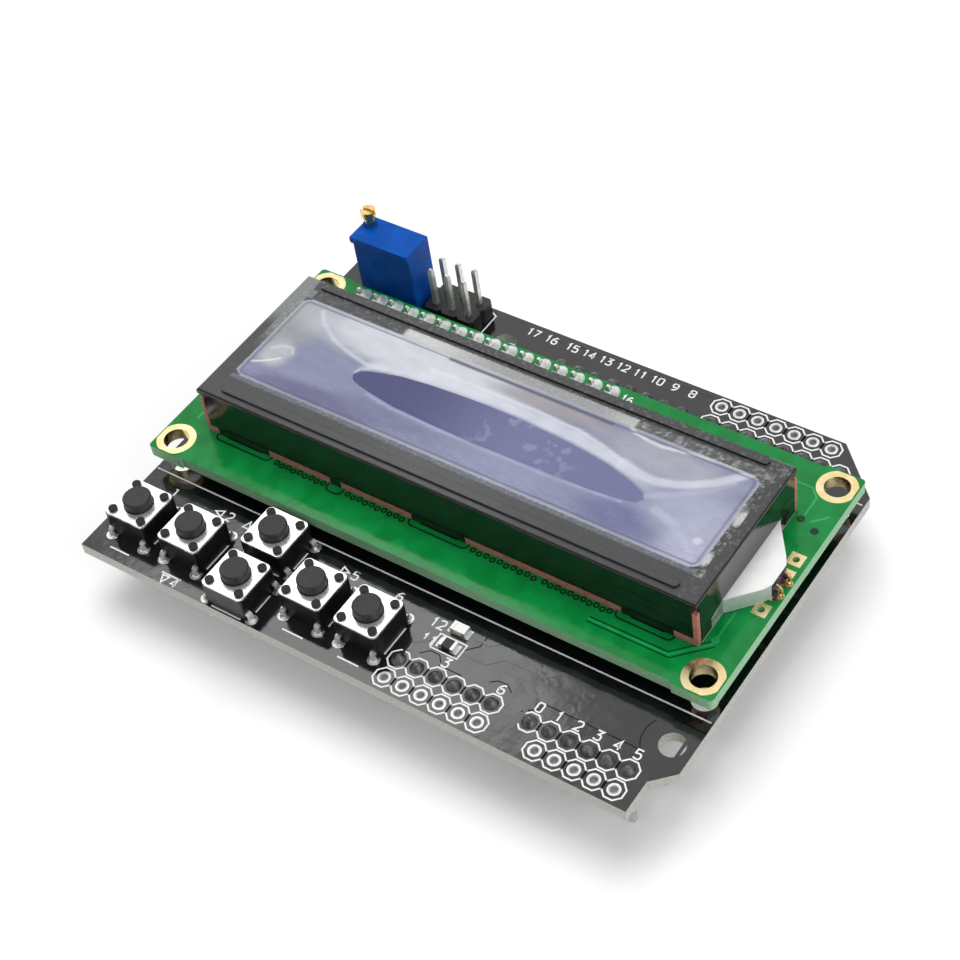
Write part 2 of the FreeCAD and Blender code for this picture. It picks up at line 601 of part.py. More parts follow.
def make_light_guide():
    """Clear slab under the glass, with its nose, a notch for the lamp and two white sheets."""
    left = "(frame_x + frame_t + fit_gap)"
    inner = f"({FRAME_END} - frame_t)"
    front = f"({FRAME_Y} + frame_t + 2 * fit_gap + strip_w)"
    back = f"({FRAME_Y} + frame_d - frame_t - 2 * fit_gap - strip_w)"
    nose = nose_outline()
    root = [(f"({inner} - fit_gap)", nose[0][1])] + nose + [(f"({inner} - fit_gap)", nose[-1][1])]
    guide = new_body("light_guide", f"{LCD_TOP} + plating + sheet_t")
    slab = new_sketch(guide)
    rectangle(slab, left, front, f"({inner} - fit_gap - {left})", f"({back} - {front})")
    pad(guide, slab, "frame_h - frame_t - polariser_t - 2 * glass_t - sheet_t - plating")
    spout = new_sketch(guide)
    polygon(spout, root)
    pad(guide, spout, "guide_nose_t - sheet_t - plating")
    notch = new_sketch(guide)
    rectangle(notch, f"({NOSE_TIP} - lamp_d)", "(lcd_y + nose_tip_y - lamp_w / 2 - fit_gap)",
              "(lamp_d + fit_gap)", "(lamp_w + 2 * fit_gap)")
    pocket(guide, notch, "guide_nose_t", back=True)
    top = new_body("guide_top_sheet", f"{LCD_TOP} + guide_nose_t")
    flat = new_sketch(top)
    polygon(flat, [(inner, nose[0][1])] + nose + [(inner, nose[-1][1])])
    pad(top, flat, "sheet_t")
    below = new_body("guide_base_sheet", f"{LCD_TOP} + plating")
    flat = new_sketch(below)
    edge_front = f"({FRAME_Y} + sheet_edge)"
    edge_back = f"({FRAME_Y} + frame_d - sheet_edge)"
    polygon(flat, [
        (left, front), (inner, front), (inner, edge_front), (FRAME_END, edge_front), *nose,
        (FRAME_END, edge_back), (inner, edge_back), (inner, back), (left, back),
    ])
    pad(below, flat, "sheet_t")


def make_lamp():
    """Backlight lamp in the notch of the guide, with a bent lead down to each inner pad."""
    body = new_body("backlight_lamp", f"{LCD_TOP} + plating")
    base = new_sketch(body, offset="sheet_t")
    rectangle(base, f"({NOSE_TIP} - lamp_d + fit_gap)", "(lcd_y + nose_tip_y - lamp_w / 2)",
              "(lamp_d - fit_gap)", "lamp_w")
    pad(body, base, "lamp_h")
    for side in "+-":
        low = f"(lcd_y + nose_tip_y {side} lamp_lead_side - lamp_lead_w / 2)"
        lead = new_sketch(body, "XZ_Plane", f"0 - {low} - lamp_lead_w")
        inside, outside = f"({NOSE_TIP} - lamp_lead_in)", f"({NOSE_TIP} + lamp_lead_out)"
        bend = f"({outside} - lamp_lead_t)"
        polygon(lead, [
            (inside, "lamp_lead_z"), (bend, "lamp_lead_z"), (bend, "0"), (outside, "0"),
            (outside, "(lamp_lead_z + lamp_lead_t)"), (inside, "(lamp_lead_z + lamp_lead_t)"),
        ])
        pad(body, lead, "lamp_lead_w")


def make_lcd_header():
    """Header that carries the display board."""
    make_strip("lcd_header", "lcd_row_x", LCD_ROW, "lcd_pins", TOP_Z)
    make_pins("lcd_header_pins", "lcd_row_x", LCD_ROW, "lcd_pins",
              f"({BOARD_Z} - lcd_pin_tail)", f"({LCD_TOP} + lcd_pin_top)")


def make_programming_header():
    """Upright header of two rows beside the trimmer."""
    rows = ("0", "pitch")
    make_strip("pin_block", "block_x", "block_y", "block_pins", TOP_Z, "pitch", rows)
    make_pins("pin_block_pins", "block_x", "block_y", "block_pins",
              f"({BOARD_Z} - block_pin_tail)", f"({TOP_Z} + block_pin_top)", rows=rows)


def make_key(name):
    """One key: housing, cover plate, plunger and dome, about the key's own middle."""
    x, y = f"{LEFT} + key_{name}_x", f"{FRONT} + key_{name}_y"
    housing = new_body(f"key_{name}_housing", TOP_Z, x, y)
    base = new_sketch(housing)
    square(base, "0", "0", "key_w")
    block = pad(housing, base, "key_body_h")
    round_edges(housing, block, "key_edge", upright)
    well = new_sketch(housing, offset="key_body_h")
    circle(well, "0", "0", "cavity_r")
    pocket(housing, well, "key_body_h - cavity_floor")
    posts = new_sketch(housing, offset="key_body_h")
    cover = new_body(f"key_{name}_cover", f"{TOP_Z} + key_body_h", x, y)
    plate = new_sketch(cover)
    square(plate, "0", "0", "key_w")
    circle(plate, "0", "0", "(cap_r + cap_gap)")
    for sx in ("post_x", "(0 - post_x)"):
        for sy in ("post_x", "(0 - post_x)"):
            circle(posts, sx, sy, "post_r")
            circle(plate, sx, sy, "post_r")
    pad(housing, posts, "plate_t + post_top")
    flat = pad(cover, plate, "plate_t")
    round_edges(cover, flat, "key_round", upright_corner)
    plunger = new_body(f"key_{name}_plunger", TOP_Z, x, y)
    flange_top = "(key_body_h - flange_gap)"
    foot = "(cavity_floor + dome_h + foot_gap)"
    revolve(plunger, [
        ("0", foot), ("foot_r", foot), ("foot_r", f"({flange_top} - flange_t)"),
        ("flange_r", f"({flange_top} - flange_t)"), ("flange_r", flange_top), ("cap_r", flange_top),
        ("cap_r", "(cap_top - cap_edge)"), ("(cap_r - cap_edge)", "cap_top"), ("0", "cap_top"),
    ])
    dome = new_body(f"key_{name}_dome", f"{TOP_Z} + cavity_floor", x, y)
    revolve(dome, [
        ("0", "(dome_h - dome_t)"), ("dome_top_r", "(dome_h - dome_t)"), ("(dome_r - dome_t)", "0"),
        ("dome_r", "0"), ("dome_top_r", "dome_h"), ("0", "dome_h"),
    ])


def upright_corner(edge):
    """Say whether an edge is one of the square's own upright corners."""
    half = value("key_w") / 2
    return upright(edge) and all(
        abs(abs(vertex.Point.x) - half) < 1e-6 and abs(abs(vertex.Point.y) - half) < 1e-6
        for vertex in edge.Vertexes)


def make_key_leads():
    """Four bent leads on each key, down through the board."""
    leads = []
    for name, (_x, _y, turned) in KEYS.items():
        body = new_body(f"key_{name}_leads", TOP_Z, f"{LEFT} + key_{name}_x",
                        f"{FRONT} + key_{name}_y", 90 if turned else 0, node=False)
        for side in ("lead_x", "(0 - lead_x)"):
            for sign in ("", "0 - "):
                profile = new_sketch(body, "YZ_Plane", f"{side} - lead_w / 2")
                polygon(profile, [
                    (f"{sign}(key_w / 2)", "lead_z"), (f"{sign}(key_w / 2)", "(lead_z + lead_t)"),
                    (f"{sign}lead_y", "(lead_z + lead_t)"), (f"{sign}(lead_y + lead_t)", "lead_z"),
                    (f"{sign}(lead_y + lead_t)", "(0 - board_t - lead_tail)"),
                    (f"{sign}lead_y", "(0 - board_t - lead_tail)"), (f"{sign}lead_y", "lead_z"),
                ])
                pad(body, profile, "lead_w")
        leads.append(body)
    compound("key_leads", leads)


def make_trimmer():
    """Multi-turn trimmer: case with lid and feet, screw and three pins."""
    case = new_body("trimmer_case", f"{TOP_Z} + trim_foot_h")
    base = new_sketch(case)
    rectangle(base, "(trim_x + trim_lip)", "(trim_y + trim_lip)", "(trim_w - trim_lip)",
              "(trim_d - trim_lip)")
    pad(case, base, "trim_h - trim_foot_h")
    lid = new_sketch(case, offset="trim_h - trim_foot_h")
    rectangle(lid, "trim_x", "trim_y", "trim_w", "trim_d")
    pad(case, lid, "trim_lid_t", back=True)
    collar = new_sketch(case, offset="trim_h - trim_foot_h")
    circle(collar, "(trim_x + screw_x)", "(trim_y + screw_y)", "collar_r")
    pad(case, collar, "collar_h")
    bore = new_sketch(case, offset="trim_h - trim_foot_h + collar_h")
    circle(bore, "(trim_x + screw_x)", "(trim_y + screw_y)", "(shank_r + shank_gap)")
    pocket(case, bore, "collar_h + shank_depth")
    feet = new_sketch(case)
    for x in ("(trim_x + trim_lip)", "(trim_x + trim_w - trim_foot_w)"):
        rectangle(feet, x, "(trim_y + trim_lip)", "trim_foot_w", "(trim_d - trim_lip)")
    pad(case, feet, "trim_foot_h", back=True)
    screw = new_body("trimmer_screw", f"{TOP_Z} + trim_h + collar_h",
                     f"{LEFT} + trim_x + screw_x", f"{FRONT} + trim_y + screw_y")
    depth = "(0 - collar_h - shank_depth + shank_gap)"
    revolve(screw, [
        ("0", depth), ("shank_r", depth), ("shank_r", "neck_h"), ("screw_r", "neck_h"),
        ("screw_r", "(neck_h + screw_head_h)"), ("0", "(neck_h + screw_head_h)"),
    ])
    slot = new_sketch(screw, offset="neck_h + screw_head_h")
    rectangle(slot, "(0 - screw_r)", "(0 - screw_slot_w / 2)", "(2 * screw_r)", "screw_slot_w")
    pocket(screw, slot, "screw_slot_h")
    make_pins("trimmer_pins", "trim_x + trim_w / 2 - pitch", "(trim_y + trim_d / 2)", "3",
              f"({BOARD_Z} - trim_pin_tail)", f"({TOP_Z} + trim_foot_h)", width="trim_pin_w")


def make_chips():
    """Chip lamp, chip resistors, transistor and the two moulded chips under the display."""
    chips = {
        "power_lamp": ("lamp_chip_x", "lamp_chip_y", "chip_w", "chip_d", "lamp_chip_t"),
        "chip_resistors": ("lamp_chip_x", "resistor_y", "chip_w", "chip_d", "chip_t"),
        "backlight_transistor": ("transistor_x", "ladder_y", "transistor_w", "transistor_d",
                                 "transistor_h"),
    }
    for label, (x, y, width, depth, height) in chips.items():
        body = new_body(label, TOP_Z)
        sketch = new_sketch(body)
        rectangle(sketch, f"({x} - {width} / 2)", f"({y} - {depth} / 2)", width, depth)
        pad(body, sketch, height)
        if label == "chip_resistors":
            first = new_sketch(body)
            rectangle(first, "(ladder_x - chip_d / 2)", "(ladder_y - chip_w / 2)", "chip_d", "chip_w")
            repeat(body, [pad(body, first, "chip_t")], first, "H_Axis", "ladder_pitch", "ladder_count")
    blobs = []
    for step in (0, 1):
        blob = new_body(f"chip_blob_{step}", LCD_Z, f"{LEFT} + blob_x + {step} * blob_pitch",
                        f"{FRONT} + lcd_y + lcd_d / 2", node=False)
        revolve(blob, [
            ("0", "0"), ("blob_r", "0"), ("blob_shoulder_r", "(0 - blob_shoulder_h)"),
            ("blob_crown_r", "(0 - blob_h)"), ("0", "(0 - blob_h)"),
        ])
        blobs.append(blob)
    compound("controller_blobs", blobs)


def check_and_write():
    """Check every object and shape, then write one file per node."""
    doc.recompute()
    for item in doc.Objects:
        if "Invalid" in item.State or "Error" in item.State:
            raise RuntimeError(f"{item.Label} is {item.State}")
    for item in parts:
        if item.Shape.isNull() or not item.Shape.isValid():
            raise RuntimeError(f"{item.Label} has a bad shape")
    os.makedirs("parts", exist_ok=True)
    for item in parts:
        item.Shape.exportStep(f"parts/{item.Label}.step")
        print(item.Label, round(item.Shape.Volume, 3), len(item.Shape.Solids))


fill_sheet()
make_shield_board()
make_stacking_headers()
make_lcd_board()
make_gold_pads()
make_frame()
make_display_stack()
make_light_guide()
make_lamp()
make_lcd_header()
make_programming_header()
for key in KEYS:
    make_key(key)
make_key_leads()
make_trimmer()
make_chips()
check_and_write()
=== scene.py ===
"""Looks of a plug-on display board with keys: finishes, print, solder, traces and the film.

Lengths are millimetres on the black board: X and Y from its front left corner, Z from its
top face. A Form turns them into metres in the frame's own place.
"""

import json
import logging
import math
import random
from dataclasses import dataclass, field
from enum import Enum
from typing import Sequence

import bpy
from mathutils import Matrix, Vector, noise


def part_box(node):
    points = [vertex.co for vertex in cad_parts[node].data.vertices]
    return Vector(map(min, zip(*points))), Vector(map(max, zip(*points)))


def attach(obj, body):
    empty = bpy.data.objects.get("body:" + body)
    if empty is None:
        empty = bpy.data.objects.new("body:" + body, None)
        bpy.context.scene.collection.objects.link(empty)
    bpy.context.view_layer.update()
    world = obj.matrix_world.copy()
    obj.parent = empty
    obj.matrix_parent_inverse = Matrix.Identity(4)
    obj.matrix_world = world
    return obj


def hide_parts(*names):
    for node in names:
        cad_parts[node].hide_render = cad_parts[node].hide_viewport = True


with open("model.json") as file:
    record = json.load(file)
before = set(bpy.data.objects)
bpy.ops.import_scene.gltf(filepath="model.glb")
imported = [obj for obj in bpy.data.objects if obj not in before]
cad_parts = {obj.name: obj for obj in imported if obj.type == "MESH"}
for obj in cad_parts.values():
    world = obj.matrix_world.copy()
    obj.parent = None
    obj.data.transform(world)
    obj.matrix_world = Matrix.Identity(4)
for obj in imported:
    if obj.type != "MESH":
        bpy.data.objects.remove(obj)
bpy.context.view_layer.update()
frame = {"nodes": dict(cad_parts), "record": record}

LOG = logging.getLogger("display_shield")
MM = 0.001
PITCH = 2.54
HALF_PIN = 0.32
SIDES = 28
Point = tuple[float, float]
Colour = tuple[float, float, float]


def board_corner() -> Vector:
    """Give the black board's front left top corner, in metres."""
    low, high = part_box("shield_board")
    return Vector((low.x, low.y, high.z))


ORIGIN = board_corner()


def span(node: str) -> tuple[Vector, Vector]:
    """Give a node's box in board millimetres.

    Args:
        node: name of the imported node.

    Returns:
        Its lowest and its highest corner.
    """
    low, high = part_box(node)
    return (low - ORIGIN) / MM, (high - ORIGIN) / MM


def middle(node: str) -> Vector:
    """Give the middle of a node's box in board millimetres."""
    low, high = span(node)
    return (low + high) / 2


def smooth(start: float, end: float, value: float) -> float:
    """Rise from 0 at start to 1 at end, softly; start may lie above end."""
    share = max(0.0, min(1.0, (value - start) / (end - start)))
    return share * share * (3 - 2 * share)


def linear(tone: Sequence[float]) -> Vector:
    """Turn a tone of 0 to 255, as seen on a screen, into light."""
    return Vector([(part / 255) ** 2.2 for part in tone])


def follow(path: Sequence[Point], x: float) -> float:
    """Give a path's Y at one X; the path runs towards higher X."""
    for (x0, y0), (x1, y1) in zip(path, path[1:]):
        if x <= x1:
            return y0 + (y1 - y0) * max(0.0, (x - x0) / (x1 - x0))
    return path[-1][1]


def away(path: Sequence[Point], x: float, y: float) -> float:
    """Give the distance from a place to a path."""
    here = Vector((x, y))
    nearest = 1e9
    for start, end in zip(path, path[1:]):
        first, along = Vector(start), Vector(end) - Vector(start)
        share = max(0.0, min(1.0, (here - first).dot(along) / along.length_squared))
        nearest = min(nearest, (here - first - along * share).length)
    return nearest


def arc(centre: Point, radius: float, start: int, end: int, step: int) -> list[Point]:
    """Give points along an arc.

    Args:
        centre: its centre.
        radius: its radius.
        start: angle of its first point, in degrees from X towards Y.
        end: angle of its last point.
        step: angle from one point to the next.

    Returns:
        The points.
    """
    turns = [math.radians(angle) for angle in range(start, end + 1, step)]
    return [(centre[0] + radius * math.cos(turn), centre[1] + radius * math.sin(turn))
            for turn in turns]


class Level(Enum):
    """Faces that print, solder and traces lie on."""

    SHIELD_TOP = span("shield_board")[1].z
    SHIELD_UNDER = span("shield_board")[0].z
    DISPLAY_TOP = span("lcd_board")[1].z


class Wire:
    """A shader socket that can be used in a sum."""

    def __init__(self, graph: "Graph", socket: bpy.types.NodeSocket) -> None:
        """Keep the socket and the graph that it belongs to."""
        self.graph = graph
        self.socket = socket

    def math(self, operation: str, *others: "Wire | float") -> "Wire":
        """Join this socket and others in a Math node.

        Args:
            operation: the node's operation.
            others: the other values.

        Returns:
            The node's result.
        """
        values = dict(enumerate((self, *others)))
        return self.graph.node("ShaderNodeMath", {"operation": operation}, values)

    def __add__(self, other: "Wire | float") -> "Wire":
        """Add."""
        return self.math("ADD", other)

    __radd__ = __add__

    def __sub__(self, other: "Wire | float") -> "Wire":
        """Subtract."""
        return self.math("SUBTRACT", other)

    def __rsub__(self, other: float) -> "Wire":
        """Subtract this from a number."""
        return (self * -1.0) + other

    def __mul__(self, other: "Wire | float") -> "Wire":
        """Multiply."""
        return self.math("MULTIPLY", other)

    __rmul__ = __mul__

    def ramp(self, start: float, end: float, low: float = 0.0, high: float = 1.0) -> "Wire":
        """Rise smoothly from low at start to high at end."""
        values = {0: self, 1: start, 2: end, 3: low, 4: high}
        return self.graph.node("ShaderNodeMapRange", {"interpolation_type": "SMOOTHSTEP"}, values)


class Graph:
    """Node tree of one finish, or of the background."""

    def __init__(self, owner: bpy.types.Material | bpy.types.World) -> None:
        """Start a material or a world with an empty tree."""
        self.owner = owner
        owner.use_nodes = True
        self.tree = owner.node_tree
        self.tree.nodes.clear()

    def node(self, kind: str, settings: dict | None = None, values: dict | None = None,
             output: int | str = 0) -> Wire:
        """Add a node.

        Args:
            kind: the node's type.
            settings: its properties, and under "stops" a ramp's stops.
            values: numbers or wires for its sockets.
            output: which of its outputs to give back.

        Returns:
            The chosen output.
        """
        made = self.tree.nodes.new(kind)
        for key, setting in (settings or {}).items():
            if key == "stops":
                self.set_stops(made.color_ramp, setting)
            else:
                setattr(made, key, setting)
        for key, given in (values or {}).items():
            if isinstance(given, Wire):
                self.tree.links.new(given.socket, made.inputs[key])
            else:
                made.inputs[key].default_value = given
        return Wire(self, made.outputs[output] if made.outputs else None)

    @staticmethod
    def set_stops(ramp: bpy.types.ColorRamp, stops: Sequence[tuple[float, Colour]]) -> None:
        """Give a ramp its stops."""
        while len(ramp.elements) < len(stops):
            ramp.elements.new(0.5)
        for element, (place, colour) in zip(ramp.elements, stops):
            element.position = place
            element.color = (*colour, 1.0)

    def place(self) -> Wire:
        """Give the point of the surface in board millimetres."""
        here = self.node("ShaderNodeTexCoord", output="Object")
        moved = self.node("ShaderNodeVectorMath", {"operation": "SUBTRACT"},
                          {0: here, 1: tuple(ORIGIN)})
        return self.node("ShaderNodeVectorMath", {"operation": "SCALE"},
                         {0: moved, "Scale": 1.0 / MM})

    def parts(self, vector: Wire) -> tuple[Wire, Wire, Wire]:
        """Split a vector in its three numbers."""
        first = self.node("ShaderNodeSeparateXYZ", values={0: vector})
        node = first.socket.node
        return first, Wire(self, node.outputs[1]), Wire(self, node.outputs[2])

    def cloud(self, scale: float, detail: float = 3.0,
              stretch: Sequence[float] = (1, 1, 1)) -> Wire:
        """Give soft noise.

        Args:
            scale: spots per millimetre.
            detail: how fine it goes.
            stretch: how often it repeats along each axis, against the others.

        Returns:
            A number from 0 to 1.
        """
        scaled = self.node("ShaderNodeVectorMath", {"operation": "MULTIPLY"},
                           {0: self.place(), 1: tuple(stretch)})
        return self.node("ShaderNodeTexNoise", values={"Vector": scaled, "Scale": scale,
                                                       "Detail": detail})

    def blend(self, low: "Wire | Colour", high: "Wire | Colour", share: "Wire | float") -> Wire:
        """Mix two colours."""
        low = low if isinstance(low, Wire) else (*low, 1.0)
        high = high if isinstance(high, Wire) else (*high, 1.0)
        return self.node("ShaderNodeMix", {"data_type": "RGBA"}, {0: share, 6: low, 7: high}, 2)

    def bump(self, height: Wire, depth: float, edge: float = 0.0) -> Wire:
        """Turn a height into a bent normal.

        Args:
            height: the height, from 0 to 1.
            depth: what 1 stands for, in millimetres.
            edge: how far edges look rounded, in millimetres.

        Returns:
            The normal.
        """
        values = {"Height": height, "Distance": depth * MM, "Strength": 1.0}
        if edge:
            values["Normal"] = self.node("ShaderNodeBevel", {"samples": 6}, {"Radius": edge * MM})
        return self.node("ShaderNodeBump", values=values)

    def upward(self) -> Wire:
        """Give how far the surface faces up or down, from 0 to 1."""
        facing = self.node("ShaderNodeNewGeometry", output="Normal")
        return self.parts(facing)[2].math("ABSOLUTE")

    def seen(self) -> Wire:
        """Give 1 for rays that look at the background, and 0 for those that only light."""
        rays = [self.node("ShaderNodeLightPath", output=f"Is {kind} Ray")
                for kind in ("Camera", "Glossy", "Transmission")]
        return rays[0].math("MAXIMUM", rays[1]).math("MAXIMUM", rays[2])

    def finish(self, values: dict) -> bpy.types.Material:
        """End with a Principled shader.

        Args:
            values: numbers or wires for its sockets.

        Returns:
            The material.
        """
        shader = self.node("ShaderNodeBsdfPrincipled", values=values)
        self.node("ShaderNodeOutputMaterial", values={"Surface": shader})
        return self.owner


@dataclass(frozen=True)
class Finish:
    """A surface that varies a little in colour, gloss and height."""

    name: str
    colour: Colour
    accent: Colour
    rough: Point = (0.4, 0.5)
    metal: float = 0.0
    spots: float = 0.4
    grain: float = 6.0
    relief: float = 0.01
    coat: float = 0.0
    gloss: float = 0.5
    edge: float = 0.0
    stretch: tuple[float, float, float] = (1.0, 1.0, 1.0)

    def material(self) -> bpy.types.Material:
        """Build the material."""
        graph = Graph(bpy.data.materials.new(self.name))
        cloud = graph.cloud(self.spots, 4.0, self.stretch)
        share = cloud.ramp(0.35, 0.65)
        grain = graph.cloud(self.grain, 2.0, self.stretch)
        values = {
            "Base Color": self.shade(graph, share),
            "Roughness": self.roughness(graph, share),
            "Metallic": self.metal,
            "Specular IOR Level": self.gloss,
            "Alpha": self.cover(graph),
            "Normal": graph.bump(grain, self.relief, self.edge),
        }
        if self.coat:
            values["Coat Weight"] = self.coat
            values["Coat Roughness"] = 0.08
        return graph.finish(values)

    def shade(self, graph: Graph, share: Wire) -> Wire:
        """Mix the two colours of the finish."""
        return graph.blend(self.colour, self.accent, share)

    def roughness(self, graph: Graph, share: Wire) -> Wire:
        """Vary the roughness between its two ends."""
        return share * (self.rough[1] - self.rough[0]) + self.rough[0]

    def cover(self, graph: Graph) -> Wire | float:
        """Give how far the surface hides what lies behind it."""
        return 1.0


@dataclass(frozen=True)
class SheetFinish(Finish):
    """Clear sheet: what it lies on shows through its faces, and its cut edges carry a painted white
    glint.
    """

    faces: float = 0.28

    def cover(self, graph: Graph) -> Wire:
        """Cover the edges and let the level faces through."""
        return graph.upward().ramp(0.4, 0.8, 1.0, self.faces)


@dataclass(frozen=True)
class BoardFinish(Finish):
    """Clear finish on level faces, and duller sawn edges, such as a board's glass fibre."""

    fibre: Colour = (0.58, 0.58, 0.5)
    fibre_dark: Colour = (0.3, 0.3, 0.25)

    def shade(self, graph: Graph, share: Wire) -> Wire:
        """Show the fibre where the surface stands upright."""
        mask = graph.blend(self.colour, self.accent, share)
        threads = graph.cloud(3.0, 5.0, (1, 1, 5)).ramp(0.3, 0.7)
        side = graph.blend(self.fibre_dark, self.fibre, threads)
        return graph.blend(side, mask, graph.upward().ramp(0.4, 0.6))

    def roughness(self, graph: Graph, share: Wire) -> Wire:
        """Leave the sawn edges dull."""
        glossy = super().roughness(graph, share)
        return glossy + graph.upward().ramp(0.6, 0.4) * 0.45


@dataclass(frozen=True)
class FrameFinish(Finish):
    """Black coat of the folded frame: mirror-like walls, and a satin top painted lighter as sheen,
    with dust and film marks.
    """

    # the top's colour is lighter than the walls' as painted satin sheen on the same black coat
    top: Colour = (0.036, 0.037, 0.039)
    dust: Colour = (0.2, 0.205, 0.205)

    def shade(self, graph: Graph, share: Wire) -> Wire:
        """Lighten the top with painted sheen and dust, most where the film leaves its marks."""
        x, y, _z = graph.parts(graph.place())
        specks = graph.cloud(1.9, 7.0).ramp(0.5, 0.72)
        marks = x.ramp(7.4, 6.9) * y.ramp(32.5, 36.0)
        uncovered = x.ramp(72.0, 73.0) + y.ramp(38.4, 39.2) * 1.6
        # painted sheen on the top, with dust specks and the film's marks over it
        painted_sheen_and_marks = graph.blend(self.top, self.dust, specks * (uncovered * 0.3 + 0.06) + marks)
        wall = graph.blend(self.colour, self.accent, share)
        return graph.blend(wall, painted_sheen_and_marks, graph.upward().ramp(0.7, 0.95))

    def roughness(self, graph: Graph, share: Wire) -> Wire:
        """Make the top satin and the walls clear."""
        return graph.upward().ramp(0.7, 0.95, self.rough[0], self.rough[1]) + share * 0.06


@dataclass(frozen=True)
class FilmFinish(Finish):
    """Cloudy film whose tone and cover follow the folds that its mesh carries; the tone holds
    painted highlights, reflections and shade.
    """

    cling_right: Colour = (0.21, 0.22, 0.4)

    def material(self) -> bpy.types.Material:
        """Build the material."""
        graph = Graph(bpy.data.materials.new(self.name))
        x, _y, _z = graph.parts(graph.place())
        look = {"attribute_name": "look"}
        tone = graph.node("ShaderNodeAttribute", look, output="Color")
        cover = graph.node("ShaderNodeAttribute", look, output="Alpha")
        inside = graph.node("ShaderNodeAttribute", {"attribute_name": "cling"}, output="Fac")
        clings = inside.ramp(-0.06, 0.06)
        deep = graph.blend(self.colour, self.cling_right, x.ramp(27.0, 46.0))
        spots = graph.cloud(0.5, 1.0).ramp(0.56, 0.64) * x.ramp(37.0, 42.0) * x.ramp(54.0, 50.0)
        deep = graph.blend(deep, self.accent, spots * 0.5)
        scuffs = graph.cloud(2.0, 6.0, (1.0, 3.0, 1.0)).ramp(0.45, 0.8)
        # the mesh's tone holds painted highlights, reflections and shade; scuffs lighten it a
        # little
        painted_sheen_and_marks = graph.blend(tone, self.accent, scuffs * 0.04)
        specks = graph.cloud(2.2, 6.0).ramp(0.5, 0.62)
        dusty = cover.ramp(0.72, 0.6)
        fine = graph.cloud(1.0, 3.0, (1.0, 2.4, 1.0))
        return graph.finish({
            "Base Color": graph.blend(painted_sheen_and_marks, deep, clings),
            "Roughness": scuffs * 0.15 + self.rough[0],
            "Alpha": cover * (1.0 + dusty * (specks * 0.7 - 0.25)),
            "Specular IOR Level": self.gloss,
            "Normal": graph.bump(fine, self.relief),
        })


